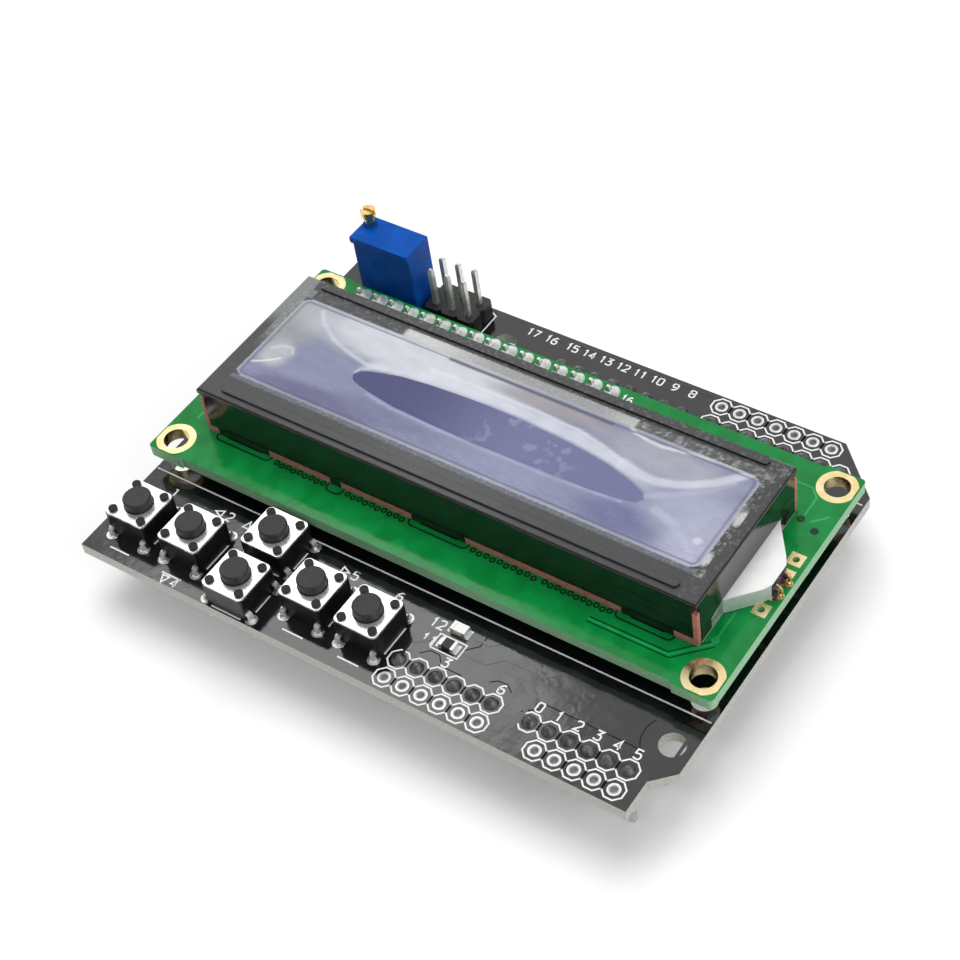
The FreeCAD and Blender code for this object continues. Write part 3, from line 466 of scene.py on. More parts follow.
FINISHES = {
    "black_board": BoardFinish("black_mask", (0.005, 0.005, 0.006), (0.009, 0.009, 0.011),
                               (0.07, 0.14), grain=0.5, relief=0.03, coat=0.3, gloss=0.7,
                               fibre=(0.66, 0.66, 0.6), fibre_dark=(0.36, 0.36, 0.32)),
    "green_board": BoardFinish("green_mask", (0.002, 0.2, 0.035), (0.003, 0.25, 0.05),
                               (0.08, 0.14), grain=0.9, relief=0.012, gloss=0.3,
                               fibre=(0.42, 0.72, 0.45), fibre_dark=(0.26, 0.5, 0.28)),
    "black_moulding": Finish("black_moulding", (0.012, 0.012, 0.013), (0.025, 0.025, 0.026),
                             (0.38, 0.5), relief=0.02),
    "tin_plate": Finish("tin_plate", (0.62, 0.61, 0.57), (0.8, 0.79, 0.76), (0.2, 0.34), 1.0,
                        spots=1.0, relief=0.01),
    "gold_plate": Finish("gold_plate", (0.93, 0.73, 0.34), (1.0, 0.84, 0.5), (0.2, 0.34), 1.0,
                         spots=0.8, relief=0.01),
    "frame_steel": FrameFinish("frame_coat", (0.006, 0.006, 0.007), (0.012, 0.012, 0.013),
                               (0.1, 0.26), grain=3.0, relief=0.012, coat=0.2, edge=0.3),
    "clear_glass": Finish("display_glass", (0.05, 0.05, 0.12), (0.06, 0.06, 0.14), (0.06, 0.1)),
    "polariser": Finish("polariser", (0.06, 0.06, 0.16), (0.075, 0.07, 0.19), (0.1, 0.16),
                        coat=0.5),
    "strip_rubber": Finish("pink_rubber", (0.52, 0.17, 0.15), (0.66, 0.28, 0.23), (0.55, 0.7),
                           spots=1.2, grain=5.0, relief=0.03, stretch=(1, 1, 3)),
    "clear_guide": BoardFinish("clear_guide", (0.86, 0.87, 0.86), (0.94, 0.94, 0.93),
                               (0.1, 0.16), fibre=(0.6, 0.72, 0.64), fibre_dark=(0.36, 0.52, 0.42)),
    "bright_sheet": Finish("bright_sheet", (0.88, 0.89, 0.88), (0.95, 0.95, 0.94), (0.12, 0.2)),
    # the white of the cut edges is a painted glint; the faces let through what lies below
    "white_sheet": SheetFinish("clear_sheet", (0.72, 0.75, 0.74), (0.86, 0.87, 0.86),
                               (0.18, 0.3)),
    "film": FilmFinish("film", (0.1, 0.1, 0.24), (0.4, 0.42, 0.56), (0.22, 0.3), relief=0.02,
                       gloss=0.3),
    "lamp_body": Finish("lamp_body", (0.05, 0.03, 0.07), (0.09, 0.05, 0.11), (0.15, 0.25)),
    "key_moulding": Finish("key_moulding", (0.02, 0.02, 0.021), (0.034, 0.034, 0.035),
                           (0.42, 0.55), spots=0.8, relief=0.03),
    "key_black": Finish("key_black", (0.006, 0.005, 0.007), (0.01, 0.009, 0.011), (0.3, 0.4),
                        spots=0.8, relief=0.015, gloss=0.3),
    "key_steel": Finish("key_steel", (0.86, 0.86, 0.85), (0.95, 0.95, 0.94), (0.2, 0.3), 0.8,
                        spots=0.9, grain=8.0, relief=0.003, stretch=(1, 4, 1)),
    "blue_moulding": Finish("blue_moulding", (0.002, 0.07, 0.38), (0.004, 0.1, 0.48),
                            (0.4, 0.5), relief=0.03, gloss=0.12, edge=0.12),
    "screw_brass": Finish("screw_brass", (0.75, 0.5, 0.16), (0.9, 0.66, 0.28), (0.2, 0.35), 1.0,
                          spots=2.0, relief=0.01),
    "chip_white": Finish("lamp_lens", (0.82, 0.82, 0.76), (0.9, 0.9, 0.86), (0.15, 0.25)),
    "chip_black": Finish("chip_black", (0.02, 0.02, 0.02), (0.035, 0.035, 0.035), (0.4, 0.55)),
    "print": Finish("white_print", (0.86, 0.87, 0.88), (0.95, 0.95, 0.95), (0.45, 0.6),
                    spots=1.5, relief=0.01),
    "pin_tin": Finish("pin_tin", (0.7, 0.69, 0.66), (0.9, 0.9, 0.88), (0.3, 0.42), 0.7,
                      spots=1.0, relief=0.01),
    "solder": Finish("bright_solder", (0.78, 0.78, 0.77), (0.92, 0.92, 0.91), (0.26, 0.4), 0.85,
                     spots=1.0, relief=0.02),
    "header_tin": Finish("header_tin", (0.74, 0.76, 0.74), (0.93, 0.94, 0.93), (0.3, 0.44), 0.55,
                         spots=1.6, relief=0.05),
    # solder painted dark: its dark tone stands in for the dark reflections that the pin domes and
    # tips show
    "dark_solder": Finish("solder_painted_dark", (0.1, 0.104, 0.11), (0.24, 0.245, 0.25),
                          (0.34, 0.5), 0.85, spots=0.9, relief=0.05),
    "hole_lining": Finish("hole_lining", (0.5, 0.48, 0.49), (0.66, 0.64, 0.65), (0.4, 0.55),
                          0.4, spots=1.0, relief=0.03),
    "flux_solder": Finish("browned_solder", (0.5, 0.3, 0.1), (0.8, 0.6, 0.28), (0.15, 0.3),
                          0.9, spots=1.2, relief=0.03),
    "green_dark": Finish("bare_mask_green", (0.001, 0.025, 0.008), (0.002, 0.04, 0.012),
                         (0.1, 0.2), gloss=0.3),
    "green_trace": Finish("green_trace", (0.004, 0.29, 0.07), (0.006, 0.35, 0.09), (0.22, 0.3),
                          coat=0.2),
    "black_trace": Finish("black_trace", (0.009, 0.009, 0.011), (0.014, 0.014, 0.016),
                          (0.08, 0.15), grain=0.5, relief=0.02, coat=0.3, gloss=0.7),
    "mask_line": Finish("mask_line", (0.004, 0.004, 0.005), (0.008, 0.008, 0.009), (0.3, 0.4),
                        gloss=0.2),
}


class Palette:
    """Builds each finish once."""

    def __init__(self) -> None:
        """Start with nothing built."""
        self.made: dict[str, bpy.types.Material] = {}

    def __getitem__(self, name: str) -> bpy.types.Material:
        """Give a finish by name."""
        if name not in self.made:
            self.made[name] = FINISHES[name].material()
        return self.made[name]


class Form:
    """Points and faces of one piece."""

    def __init__(self, name: str) -> None:
        """Start empty."""
        self.name = name
        self.points: list[Vector] = []
        self.faces: list[tuple[int, ...]] = []

    def rings(self, rings: Sequence[Sequence[Vector]], closed: bool, ends: bool) -> None:
        """Join rings of points in a row.

        Args:
            rings: the rings, each with the same count.
            closed: whether the last ring meets the first.
            ends: whether the first and last rings are filled.
        """
        first = len(self.points)
        count = len(rings[0])
        for ring in rings:
            self.points.extend(ring)
        spans = len(rings) if closed else len(rings) - 1
        for row in range(spans):
            here, after = first + row * count, first + (row + 1) % len(rings) * count
            for index in range(count):
                beside = (index + 1) % count
                self.faces.append((here + index, here + beside, after + beside, after + index))
        if ends:
            self.faces.append(tuple(range(first + count - 1, first - 1, -1)))
            last = first + (len(rings) - 1) * count
            self.faces.append(tuple(range(last, last + count)))

    def box(self, low: Sequence[float], high: Sequence[float], bevel: float = 0.04) -> None:
        """Add a block whose top edges are broken.

        Args:
            low: its lowest corner.
            high: its highest corner.
            bevel: width of the broken edges, at most a third of the height.
        """
        cut = min(bevel, (high[2] - low[2]) / 3)
        rings = []
        for inset, z in ((0.0, low[2]), (0.0, high[2] - cut), (cut, high[2])):
            left, right = low[0] + inset, high[0] - inset
            front, back = low[1] + inset, high[1] - inset
            rings.append([Vector((left, front, z)), Vector((right, front, z)),
                          Vector((right, back, z)), Vector((left, back, z))])
        self.rings(rings, False, True)

    def ribbon(self, path: Sequence[Point], width: float, low: float, high: float,
               closed: bool = False) -> None:
        """Lay a flat line with mitred corners.

        Args:
            path: its points.
            width: its width.
            low: height of its underside.
            high: height of its top.
            closed: whether it ends where it starts.
        """
        points = [Vector(point) for point in path]
        rings = []
        for index, here in enumerate(points):
            before = points[index - 1] if closed or index else None
            after = points[(index + 1) % len(points)] if closed or index < len(points) - 1 else None
            into = (here - before).normalized() if before else (after - here).normalized()
            out = (after - here).normalized() if after else into
            mid = into + out
            mid = mid.normalized() if mid.length > 1e-6 else out
            aside = Vector((-mid.y, mid.x)) * (width / 2 / max(0.4, mid.dot(out)))
            left, right = here + aside, here - aside
            rings.append([Vector((*left, low)), Vector((*right, low)), Vector((*right, high)),
                          Vector((*left, high))])
        self.rings(rings, closed, not closed)

    def turned(self, centre: Point, profile: Sequence[Point], base: float, sides: int = 20,
               loop: bool = False, stretch: Point = (1.0, 1.0), shift: float = 0.0) -> None:
        """Turn a profile of (radius, height) pairs about an upright line.

        Args:
            centre: where the line stands.
            profile: the pairs, from the outside bottom to the top.
            base: height that the pairs count from.
            sides: points round the line.
            loop: whether the profile closes on itself.
            stretch: scale along X and Y.
            shift: how far the upper rings lean along Y, per millimetre of height.
        """
        rings = []
        for radius, height in profile:
            ring = []
            for side in range(sides):
                angle = 2 * math.pi * side / sides
                ring.append(Vector((centre[0] + radius * math.cos(angle) * stretch[0],
                                    centre[1] + radius * math.sin(angle) * stretch[1]
                                    + height * shift, base + height)))
            rings.append(ring)
        self.rings(rings, loop, not loop)

    def tube(self, path: Sequence[Vector], radius: float, sides: int = 10) -> None:
        """Sweep a round section along points."""
        rings = []
        for index, here in enumerate(path):
            before, after = path[max(0, index - 1)], path[min(len(path) - 1, index + 1)]
            ahead = (after - before).normalized()
            aside = ahead.cross(Vector((0, 0, 1)))
            aside = aside.normalized() if aside.length > 1e-3 else Vector((1, 0, 0))
            above = aside.cross(ahead)
            ring = [here + (aside * math.cos(turn) + above * math.sin(turn)) * radius
                    for turn in (2 * math.pi * side / sides for side in range(sides))]
            rings.append(ring)
        self.rings(rings, False, True)

    def build(self, material: bpy.types.Material, body: str, slot: str,
              soft: float | None = 30.0) -> bpy.types.Object:
        """Make the object.

        Args:
            material: its finish.
            body: the CAD body that it rides on.
            slot: not used.
            soft: angle in degrees below which edges look round, or None for flat faces.

        Returns:
            The new object.
        """
        mesh = bpy.data.meshes.new(self.name)
        places = [tuple(ORIGIN + point * MM) for point in self.points]
        mesh.from_pydata(places, [], self.faces)
        mesh.validate()
        mesh.materials.append(material)
        piece = bpy.data.objects.new(self.name, mesh)
        bpy.context.scene.collection.objects.link(piece)
        if soft is not None:
            mesh.shade_smooth()
            mesh.set_sharp_from_angle(angle=math.radians(soft))
        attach(piece, body)
        LOG.info("%s: %d faces", self.name, len(mesh.polygons))
        return piece


class Glyph(Enum):
    """Arrows that stand for the four ways of the display's cursor."""

    LEFT = 180
    UP = 90
    RIGHT = 0
    DOWN = 270


DIGITS: dict[str, tuple[Point, ...]] = {
    "0": ((0.1, 0), (0.5, 0), (0.6, 0.15), (0.6, 0.85), (0.5, 1), (0.1, 1), (0, 0.85), (0, 0.15),
          (0.1, 0)),
    "1": ((0.12, 0.78), (0.32, 1), (0.32, 0)),
    "2": ((0, 0.85), (0.12, 1), (0.48, 1), (0.6, 0.85), (0.6, 0.6), (0, 0), (0.6, 0)),
    "3": ((0, 1), (0.6, 1), (0.25, 0.58), (0.48, 0.58), (0.6, 0.42), (0.6, 0.14), (0.48, 0),
          (0.1, 0), (0, 0.12)),
    "4": ((0.46, 0), (0.46, 1), (0, 0.3), (0.62, 0.3)),
    "5": ((0.58, 1), (0.04, 1), (0, 0.56), (0.46, 0.6), (0.6, 0.45), (0.6, 0.15), (0.48, 0),
          (0.1, 0), (0, 0.12)),
    "6": ((0.55, 0.95), (0.3, 0.95), (0, 0.6), (0, 0.15), (0.12, 0), (0.48, 0), (0.6, 0.15),
          (0.6, 0.4), (0.48, 0.54), (0, 0.5)),
    "7": ((0, 1), (0.6, 1), (0.22, 0)),
    "8": ((0.12, 0.54), (0, 0.68), (0, 0.87), (0.12, 1), (0.48, 1), (0.6, 0.87), (0.6, 0.68),
          (0.48, 0.54), (0.12, 0.54), (0, 0.4), (0, 0.14), (0.12, 0), (0.48, 0), (0.6, 0.14),
          (0.6, 0.4), (0.48, 0.54)),
    "9": ((0.05, 0.05), (0.3, 0.05), (0.6, 0.4), (0.6, 0.85), (0.48, 1), (0.12, 1), (0, 0.85),
          (0, 0.6), (0.12, 0.46), (0.6, 0.5)),
}


@dataclass
class Print:
    """White ink lines and plain numbers on one face."""

    form: Form
    level: float
    ink: float = 0.02
    line: float = 0.2
    height: float = 1.25
    step: float = 1.05

    def path(self, points: Sequence[Point], closed: bool = False) -> None:
        """Print a line through points."""
        self.form.ribbon(points, self.line, self.level, self.level + self.ink, closed)

    def octagon(self, x: float, y: float) -> None:
        """Print the eight-sided outline of a pad, one pitch across."""
        half, cut_share = PITCH / 2, 0.2929
        inner = half - PITCH * cut_share
        corners = [(half, -inner), (half, inner), (inner, half), (-inner, half),
                   (-half, inner), (-half, -inner), (-inner, -half), (inner, -half)]
        self.path([(x + dx, y + dy) for dx, dy in corners], closed=True)

    def number(self, text: str, x: float, y: float, height: float | None = None) -> None:
        """Print a plain number.

        Args:
            text: its digits.
            x: left end of the first digit.
            y: foot of the digits.
            height: how tall they are.
        """
        tall = height or self.height
        for index, digit in enumerate(text):
            left = x + index * self.step * tall / self.height
            self.path([(left + dx * tall, y + dy * tall) for dx, dy in DIGITS[digit]])

    def arrow(self, glyph: Glyph, x: float, y: float, size: float = 0.62) -> None:
        """Print a solid arrow head about a point."""
        turn = math.radians(glyph.value)
        corners = [(size, 0.0), (-size * 0.7, size * 0.8), (-size * 0.7, -size * 0.8)]
        places = [(x + dx * math.cos(turn) - dy * math.sin(turn),
                   y + dx * math.sin(turn) + dy * math.cos(turn)) for dx, dy in corners]
        self.path(places, closed=True)


@dataclass
class BlackBoard:
    """Print, pads, traces and solder of the black board."""

    palette: Palette
    inner_front: tuple[str, ...] = ("power_pins", "analog_pins")
    inner_back: tuple[str, ...] = ("port_low_pins", "port_high_pins")
    spare_front: float = 2.86
    spare_back: float = 3.03
    ring: float = 0.83
    lamp_to_resistor: float = 2.4
    key_marks: tuple[tuple[str, Glyph | None, float, float], ...] = (
        ("1", None, 4.6, 11.5), ("2", Glyph.LEFT, 13.2, 11.5), ("3", Glyph.UP, 17.6, 11.5),
        ("4", Glyph.DOWN, 13.8, 0.15), ("5", Glyph.RIGHT, 32.4, 11.5), ("6", None, 38.9, 11.5),
        ("12", None, 44.6, 10.4), ("11", None, 44.9, 8.0))
    display_line: float = 14.2
    line_end: Point = (79.7, 49.7)
    rng: random.Random = field(default_factory=lambda: random.Random(7))

    def row(self, node: str) -> list[Point]:
        """Give the places of a row of pins."""
        low, high = span(node)
        half = PITCH / 2
        count = round((high.x - low.x + half) / PITCH)
        first = (low.x + high.x - (count - 1) * PITCH) / 2
        return [(first + index * PITCH, (low.y + high.y) / 2) for index in range(count)]

    def spare_pads(self) -> list[Point]:
        """Give the places of the open pads."""
        power, analog = (self.row(node) for node in self.inner_front)
        low_port = self.row(self.inner_back[0])[:7]
        pads = [(x, y - self.spare_front) for x, y in power + analog[1:]]
        return pads + [(x, y + self.spare_back) for x, y in low_port]

    def build(self) -> None:
        """Make every piece of this board."""
        self.print_lines()
        self.open_pads()
        self.pin_solder()
        self.under_solder()
        self.key_pads()
        self.chip_ends()
        self.traces()
        self.mask_lines()

    def print_lines(self) -> None:
        """Print octagons, key lines, the display's outline and plain numbers."""
        ink = Print(Form("shield_print"), Level.SHIELD_TOP.value)
        pads = self.spare_pads()
        for node in self.inner_front + self.inner_back[:1]:
            pads += self.row(node)
        for x, y in pads:
            ink.octagon(x, y)
        right, back = self.line_end
        ink.path([(0.2, self.display_line), (right, self.display_line)])
        ink.path([(right - 0.8, back), (right, back)])
        for key in Keys.NAMES:
            self.key_lines(ink, key)
        low, high = span("pin_block")
        beside = high.x + 0.35
        ink.path([(beside, low.y + 1.4), (beside, high.y - 0.3), (beside - 0.8, high.y + 0.1)])
        beside = span("trimmer_case")[1].x + 0.6
        ink.path([(beside, 53.0), (beside, 54.8)])
        self.numbers(ink)
        ink.form.build(self.palette["print"], "shield", "white_sheet", None)

    def key_lines(self, ink: Print, key: str) -> None:
        """Print the stretches of a key's outline that its body leaves open."""
        low, high = span(f"key_{key}_housing")
        centre = (low + high) / 2
        gap, lead_room = 0.12, 1.85
        turned = key in Keys.TURNED
        front_half, side_half = (2.2, 1.4) if turned else (1.5, 2.1)
        front = low.y - gap - (0.0 if turned else lead_room)
        ink.path([(centre.x - front_half, front), (centre.x + front_half, front)])
        side = high.x + gap
        ink.path([(side, centre.y - side_half), (side, centre.y + side_half)])

    def numbers(self, ink: Print) -> None:
        """Print a number at each key, chip and row of pins, and an arrow at four keys."""
        for text, glyph, x, y in self.key_marks:
            if glyph:
                ink.arrow(glyph, x - 1.2, y + 0.6)
            ink.number(text, x, y)
        aside, above = 0.4, 1.6
        power = self.row("power_pins")
        for index in (0, 2, 5):
            ink.number(str(index + 1), power[index][0] - aside, power[index][1] + above)
        for index, (x, y) in enumerate(self.row("analog_pins")):
            ink.number(str(index), x - aside, y + above)
        back_foot, small, half_digit = 55.6, 1.15, 0.55
        for index, (x, _y) in enumerate(reversed(self.row("port_high_pins"))):
            text = str(index + 8)
            ink.number(text, x - half_digit * len(text), back_foot, small)
        for text, x in (("17", 28.2), ("16", 31.0)):
            ink.number(text, x, back_foot, small)

    def open_pads(self) -> None:
        """Line the open holes and ring them with tin, above and below."""
        rings, linings = Form("open_pads"), Form("hole_linings")
        top, under = Level.SHIELD_TOP.value, Level.SHIELD_UNDER.value
        skin, bore, wall, sleeve, bevel = 0.04, 0.5, 0.05, 0.06, 0.03
        depth = top - under
        face = [(bore + sleeve, 0.0), (self.ring, 0.0), (self.ring - bevel, skin),
                (bore + sleeve + bevel, skin)]
        back = [(radius, -depth - height) for radius, height in reversed(face)]
        tube = [(bore + sleeve, -depth - skin / 2), (bore + sleeve, skin / 2),
                (bore - wall, skin / 2), (bore - wall, -depth - skin / 2)]
        for place in self.spare_pads():
            rings.turned(place, face, top, SIDES, loop=True)
            rings.turned(place, back, top, SIDES, loop=True)
            linings.turned(place, tube, top, SIDES, loop=True)
        rings.build(self.palette["solder"], "shield", "tin_plate")
        linings.build(self.palette["hole_lining"], "shield", "tin_plate")

    def pin_solder(self) -> None:
        """Cover the pin ends with solder domes on the top face, each with its pin's tip."""
        form, tips = Form("pin_solder"), Form("pin_tips")
        for node in self.inner_front + self.inner_back:
            for place in self.row(node):
                wide = 0.93 + self.rng.uniform(-0.05, 0.05)
                tall = 0.7 + self.rng.uniform(-0.05, 0.06)
                profile = [(wide, 0.0), (wide * 0.97, 0.06), (wide * 0.8, tall * 0.38),
                           (wide * 0.58, tall * 0.72), (wide * 0.36, tall * 0.94),
                           (wide * 0.1, tall)]
                lean = self.rng.uniform(-0.1, 0.1)
                form.turned(place, profile, Level.SHIELD_TOP.value, shift=lean)
                tip = [(0.3, tall * 0.8), (0.29, tall + 0.05), (0.2, tall + 0.12),
                       (0.05, tall + 0.14)]
                tips.turned((place[0], place[1] + lean * tall), tip, Level.SHIELD_TOP.value, 12)
        # domes and tips take the dark solder, painted dark to stand in for their dark reflections
        form.build(self.palette["dark_solder"], "shield", "tin_plate", 60.0)
        tips.build(self.palette["dark_solder"], "shield", "tin_plate", 40.0)

    def cone(self, form: Form, place: Point, base: float, wide: float, tall: float,
             down: bool = False) -> None:
        """Add a hollow-sided solder cone round a lead."""
        flip = -1.0 if down else 1.0
        steps = ((1.0, 0.0), (0.97, 0.04), (0.72, 0.18), (0.5, 0.45), (0.38, 0.8), (0.25, 1.0))
        profile = [(wide * radius, flip * tall * height) for radius, height in steps]
        form.turned(place, profile[::-1] if down else profile, base)

    def under_solder(self) -> None:
        """Solder below the board at the display header, the block, trimmer and keys."""
        form = Form("under_solder")
        under = Level.SHIELD_UNDER.value
        display = self.row("lcd_header_pins")
        block_low, block_high = span("pin_block_pins")
        first = block_low.x + HALF_PIN
        block = [(first + column * PITCH, y) for column in range(3)
                 for y in (block_low.y + HALF_PIN, block_high.y - HALF_PIN)]
        for place in display + block + self.row("trimmer_pins"):
            self.cone(form, place, under, 0.9, 0.95, down=True)
        for key in Keys.NAMES:
            for place in Keys.leads(key):
                self.cone(form, place, under, 0.9, 1.0, down=True)
        form.build(self.palette["solder"], "shield", "tin_plate", 50.0)

    def key_pads(self) -> None:
        """Ring the keys' leads with tin, and fill the rings with low cones."""
        pads = Form("key_pads")
        top = Level.SHIELD_TOP.value
        ring = [(0.5, 0.0), (0.8, 0.0), (0.77, 0.04), (0.5, 0.04)]
        for key in Keys.NAMES:
            for place in Keys.leads(key):
                pads.turned(place, ring, top, 24, loop=True)
                self.cone(pads, place, top, 0.54, 0.26)
        pads.build(self.palette["solder"], "shield", "tin_plate", 50.0)

    def chip_ends(self) -> None:
        """Cap the ends of the lamp chip and its resistor with tin, and print round them."""
        caps = Form("chip_ends")
        ink = Print(Form("chip_print"), Level.SHIELD_TOP.value, line=0.16)
        low, high = span("power_lamp")
        drop, resistor_top = self.lamp_to_resistor, 0.6
        pad_out, cap_in, cap_out, skin, lip = 0.45, 0.42, 0.04, 0.03, 0.06
        for shift, tall in ((0.0, high.z), (drop, resistor_top)):
            front, back = low.y - shift, high.y - shift
            for end, side in ((low.x, -1), (high.x, 1)):
                left, right = sorted((end + side * pad_out, end - side * cap_in))
                caps.box((left, front - lip, 0.0), (right, back + lip, 0.05))
                left, right = sorted((end + side * cap_out, end - side * cap_in))
                caps.box((left, front - skin, skin), (right, back + skin, tall + skin))
        room, side_room = 0.45, 0.85
        front, back = low.y - drop - room, high.y - drop + room
        left, right = low.x - side_room, high.x + side_room
        ink.path([(left, front), (right, front), (right, back), (left, back)], closed=True)
        caps.build(self.palette["solder"], "shield", "tin_plate")
        ink.form.build(self.palette["print"], "shield", "white_sheet", None)

    def traces(self) -> None:
        """Raise a few copper traces below the mask."""
        form = Form("shield_traces")
        top = Level.SHIELD_TOP.value
        runs = [
            [(50.5, 8.9), (53.5, 8.9), (55.2, 10.6), (60.5, 10.6), (62.0, 12.0), (70.0, 12.0)],
            [(46.2, 8.9), (44.3, 7.4), (44.3, 5.8)],
            [(50.5, 11.3), (52.5, 11.3), (54.0, 12.6), (58.0, 12.6)],
            [(56.0, 9.2), (59.0, 9.2), (61.0, 7.6), (61.0, 3.0)],
            [(78.6, 13.0), (78.6, 8.2)],
            [(1.0, 5.0), (1.0, 12.8), (9.6, 12.8)],
            [(35.6, 9.8), (43.0, 9.8)],
            [(27.8, 12.9), (42.0, 12.9)],
            [(35.0, 57.0), (56.0, 57.0)],
        ]
        for run in runs:
            form.ribbon(run, 0.4, top - 0.01, top + 0.03)
        form.build(self.palette["black_trace"], "shield", "black_board", 40.0)

    def mask_lines(self) -> None:
        """Draw the dark gaps between copper areas."""
        form = Form("shield_gaps")
        top = Level.SHIELD_TOP.value
        gaps = [
            arc((77.3, 9.9), 3.5, 150, 230, 10),
            [(60.6, 5.4), (62.2, 6.6), (62.2, 7.5), (74.3, 7.5), (75.0, 6.8)],
            [(51.6, 12.3), (51.6, 10.6), (50.1, 9.1)],
            [(46.0, 6.5), (46.9, 7.4), (48.2, 7.4), (48.9, 6.6)],
            [(55.3, 7.0), (56.1, 7.6), (57.3, 7.7), (58.3, 7.0)],
            [(48.9, 6.2), (52.0, 6.2)],
        ]
        for gap in gaps:
            form.ribbon(gap, 0.14, top - 0.01, top + 0.012)
        form.build(self.palette["mask_line"], "shield", "black_board", 40.0)


class Keys:
    """Names and places of the keys."""

    NAMES = ("select", "left", "up", "down", "right", "reset")
    TURNED = ("up", "down")
    ALONG = 2.5
    OUT = 3.35

    @classmethod
    def leads(cls, key: str) -> list[Point]:
        """Give the places of a key's four leads."""
        centre = middle(f"key_{key}_housing")
        out = (cls.OUT, cls.ALONG) if key in cls.TURNED else (cls.ALONG, cls.OUT)
        return [(centre.x + sx * out[0], centre.y + sy * out[1])
                for sx in (-1, 1) for sy in (-1, 1)]


@dataclass
class DisplayBoard:
    """Solder, traces and pads of the green board."""

    palette: Palette
    pins: int = 16
    rng: random.Random = field(default_factory=lambda: random.Random(11))

    def build(self) -> None:
        """Make every piece of this board."""
        self.header_solder()
        self.mask_marks()
        self.lamp_solder()
        self.print_number()

    def header_solder(self) -> None:
        """Long solder fillets of the display header, reaching back to the board's edge."""
        form = Form("header_solder")
        low, high = span("lcd_header_pins")
        y = (low.y + high.y) / 2
        top = Level.DISPLAY_TOP.value
        for index in range(self.pins):
            x = low.x + HALF_PIN + index * PITCH
            wide = 1.06 + self.rng.uniform(-0.06, 0.06)
            tall = 1.05 + self.rng.uniform(-0.12, 0.1)
            profile = [(wide, 0.0), (wide * 0.97, 0.06), (wide * 0.84, tall * 0.22),
                       (wide * 0.68, tall * 0.5), (wide * 0.52, tall * 0.82), (wide * 0.34, tall)]
            form.turned((x, y + 0.45), profile, top, 24, stretch=(1.0, 1.3), shift=-0.38)
        form.build(self.palette["header_tin"], "shield", "tin_plate", 50.0)

    def slot_mark(self, form: Form, left: float, right: float, front: float) -> None:
        """Draw the round-cornered bare edge round a tab slot.

        Args:
            form: the piece that it is added to.
            left: its left end.
            right: its right end.
            front: its front edge.
        """
        back, bend = 20.6, 0.7
        top = Level.DISPLAY_TOP.value
        path = [(left, back)]
        path += arc((left + bend, front + bend), bend, 180, 270, 15)
        path += arc((right - bend, front + bend), bend, 270, 360, 15)
        path += [(right, back)]
        form.ribbon(path, 0.24, top - 0.01, top + 0.02)

    def mask_marks(self) -> None:
        """Draw the dark marks in the mask and the raised traces round the frame."""
        dark = Form("mask_marks")
        top = Level.DISPLAY_TOP.value
        for left, right, front in ((6.7, 15.15, 19.0), (23.95, 26.2, 18.7), (35.9, 44.4, 19.0),
                                   (64.5, 72.0, 19.0)):
            self.slot_mark(dark, left, right, front)
        ring = [(0.16, 0.0), (0.42, 0.0), (0.42, 0.02), (0.16, 0.02)]
        row_y, stagger, spacing, inset, sides = 19.4, 0.16, 0.92, 0.5, 14
        for left, right in ((15.7, 23.8), (26.5, 35.6), (44.7, 54.2), (54.6, 64.3)):
            count = round((right - left) / spacing)
            for index in range(count):
                x = left + inset + index * (right - left - 2 * inset) / (count - 1)
                dark.turned((x, row_y - stagger * (index % 2)), ring, top, sides, loop=True)
        for run in ([(62.24, 17.68), (72.4, 17.68), (75.9, 21.2)],
                    [(62.24, 17.0), (72.9, 17.0), (76.6, 20.7)]):
            dark.ribbon(run, 0.16, top - 0.01, top + 0.015)
        for spot in ((76.06, 41.34), (78.32, 40.42)):
            dark.turned(spot, [(0.08, 0.0), (0.5, 0.0), (0.5, 0.02), (0.08, 0.02)], top, sides,
                        loop=True)
        dark.build(self.palette["green_dark"], "shield", "green_board", None)
        light = Form("display_traces")
        runs = [
            [(62.2, 17.34), (72.6, 17.34), (76.2, 20.9), (76.2, 26.0)],
            [(76.2, 42.0), (76.2, 45.0), (75.0, 46.2), (52.0, 46.2)],
            [(77.2, 41.4), (78.9, 43.1)],
            [(2.6, 20.5), (2.6, 42.5), (4.2, 44.1), (6.6, 44.1)],
        ]
        for run in runs:
            light.ribbon(run, 0.3, top - 0.01, top + 0.02)
        light.turned((76.18, 21.48), [(0.15, 0.0), (0.5, 0.0), (0.48, 0.05), (0.15, 0.05)], top,
                     16, loop=True)
        light.build(self.palette["green_trace"], "shield", "green_board", None)

    def lamp_solder(self) -> None:
        """Browned solder loops on the lamp's pads."""
        form = Form("lamp_solder")
        low, high = span("backlight_lamp")
        top = Level.DISPLAY_TOP.value + 0.05
        for y in (low.y + 0.6, high.y - 0.6):
            profile = [(0.75, 0.0), (0.7, 0.12), (0.45, 0.4), (0.2, 0.62)]
            form.turned((high.x - 0.1, y), profile, top, stretch=(1.0, 0.8))
            path = [Vector((high.x - 0.35 + 0.7 * math.sin(turn), y,
                            top + 0.35 + 0.95 * (1 - math.cos(turn)) * 0.7))
                    for turn in (math.pi * step / 10 for step in range(11))]
            form.tube(path, 0.17)
        form.build(self.palette["flux_solder"], "shield", "tin_plate", 50.0)

    def print_number(self) -> None:
        """Number the last pin of the display header."""
        ink = Print(Form("display_print"), Level.DISPLAY_TOP.value)
        high = span("lcd_header_pins")[1]
        ink.number("16", high.x + 1.2, high.y - 0.3, 1.0)
        ink.form.build(self.palette["print"], "shield", "white_sheet", None)


@dataclass(frozen=True)
class Fold:
    """A crease of the film along a path, with a painted highlight where it is lighter than the film
    round it and painted shade where it is darker.
    """

    path: tuple[Point, ...]
    width: float
    tone: Colour
    share: float = 0.9


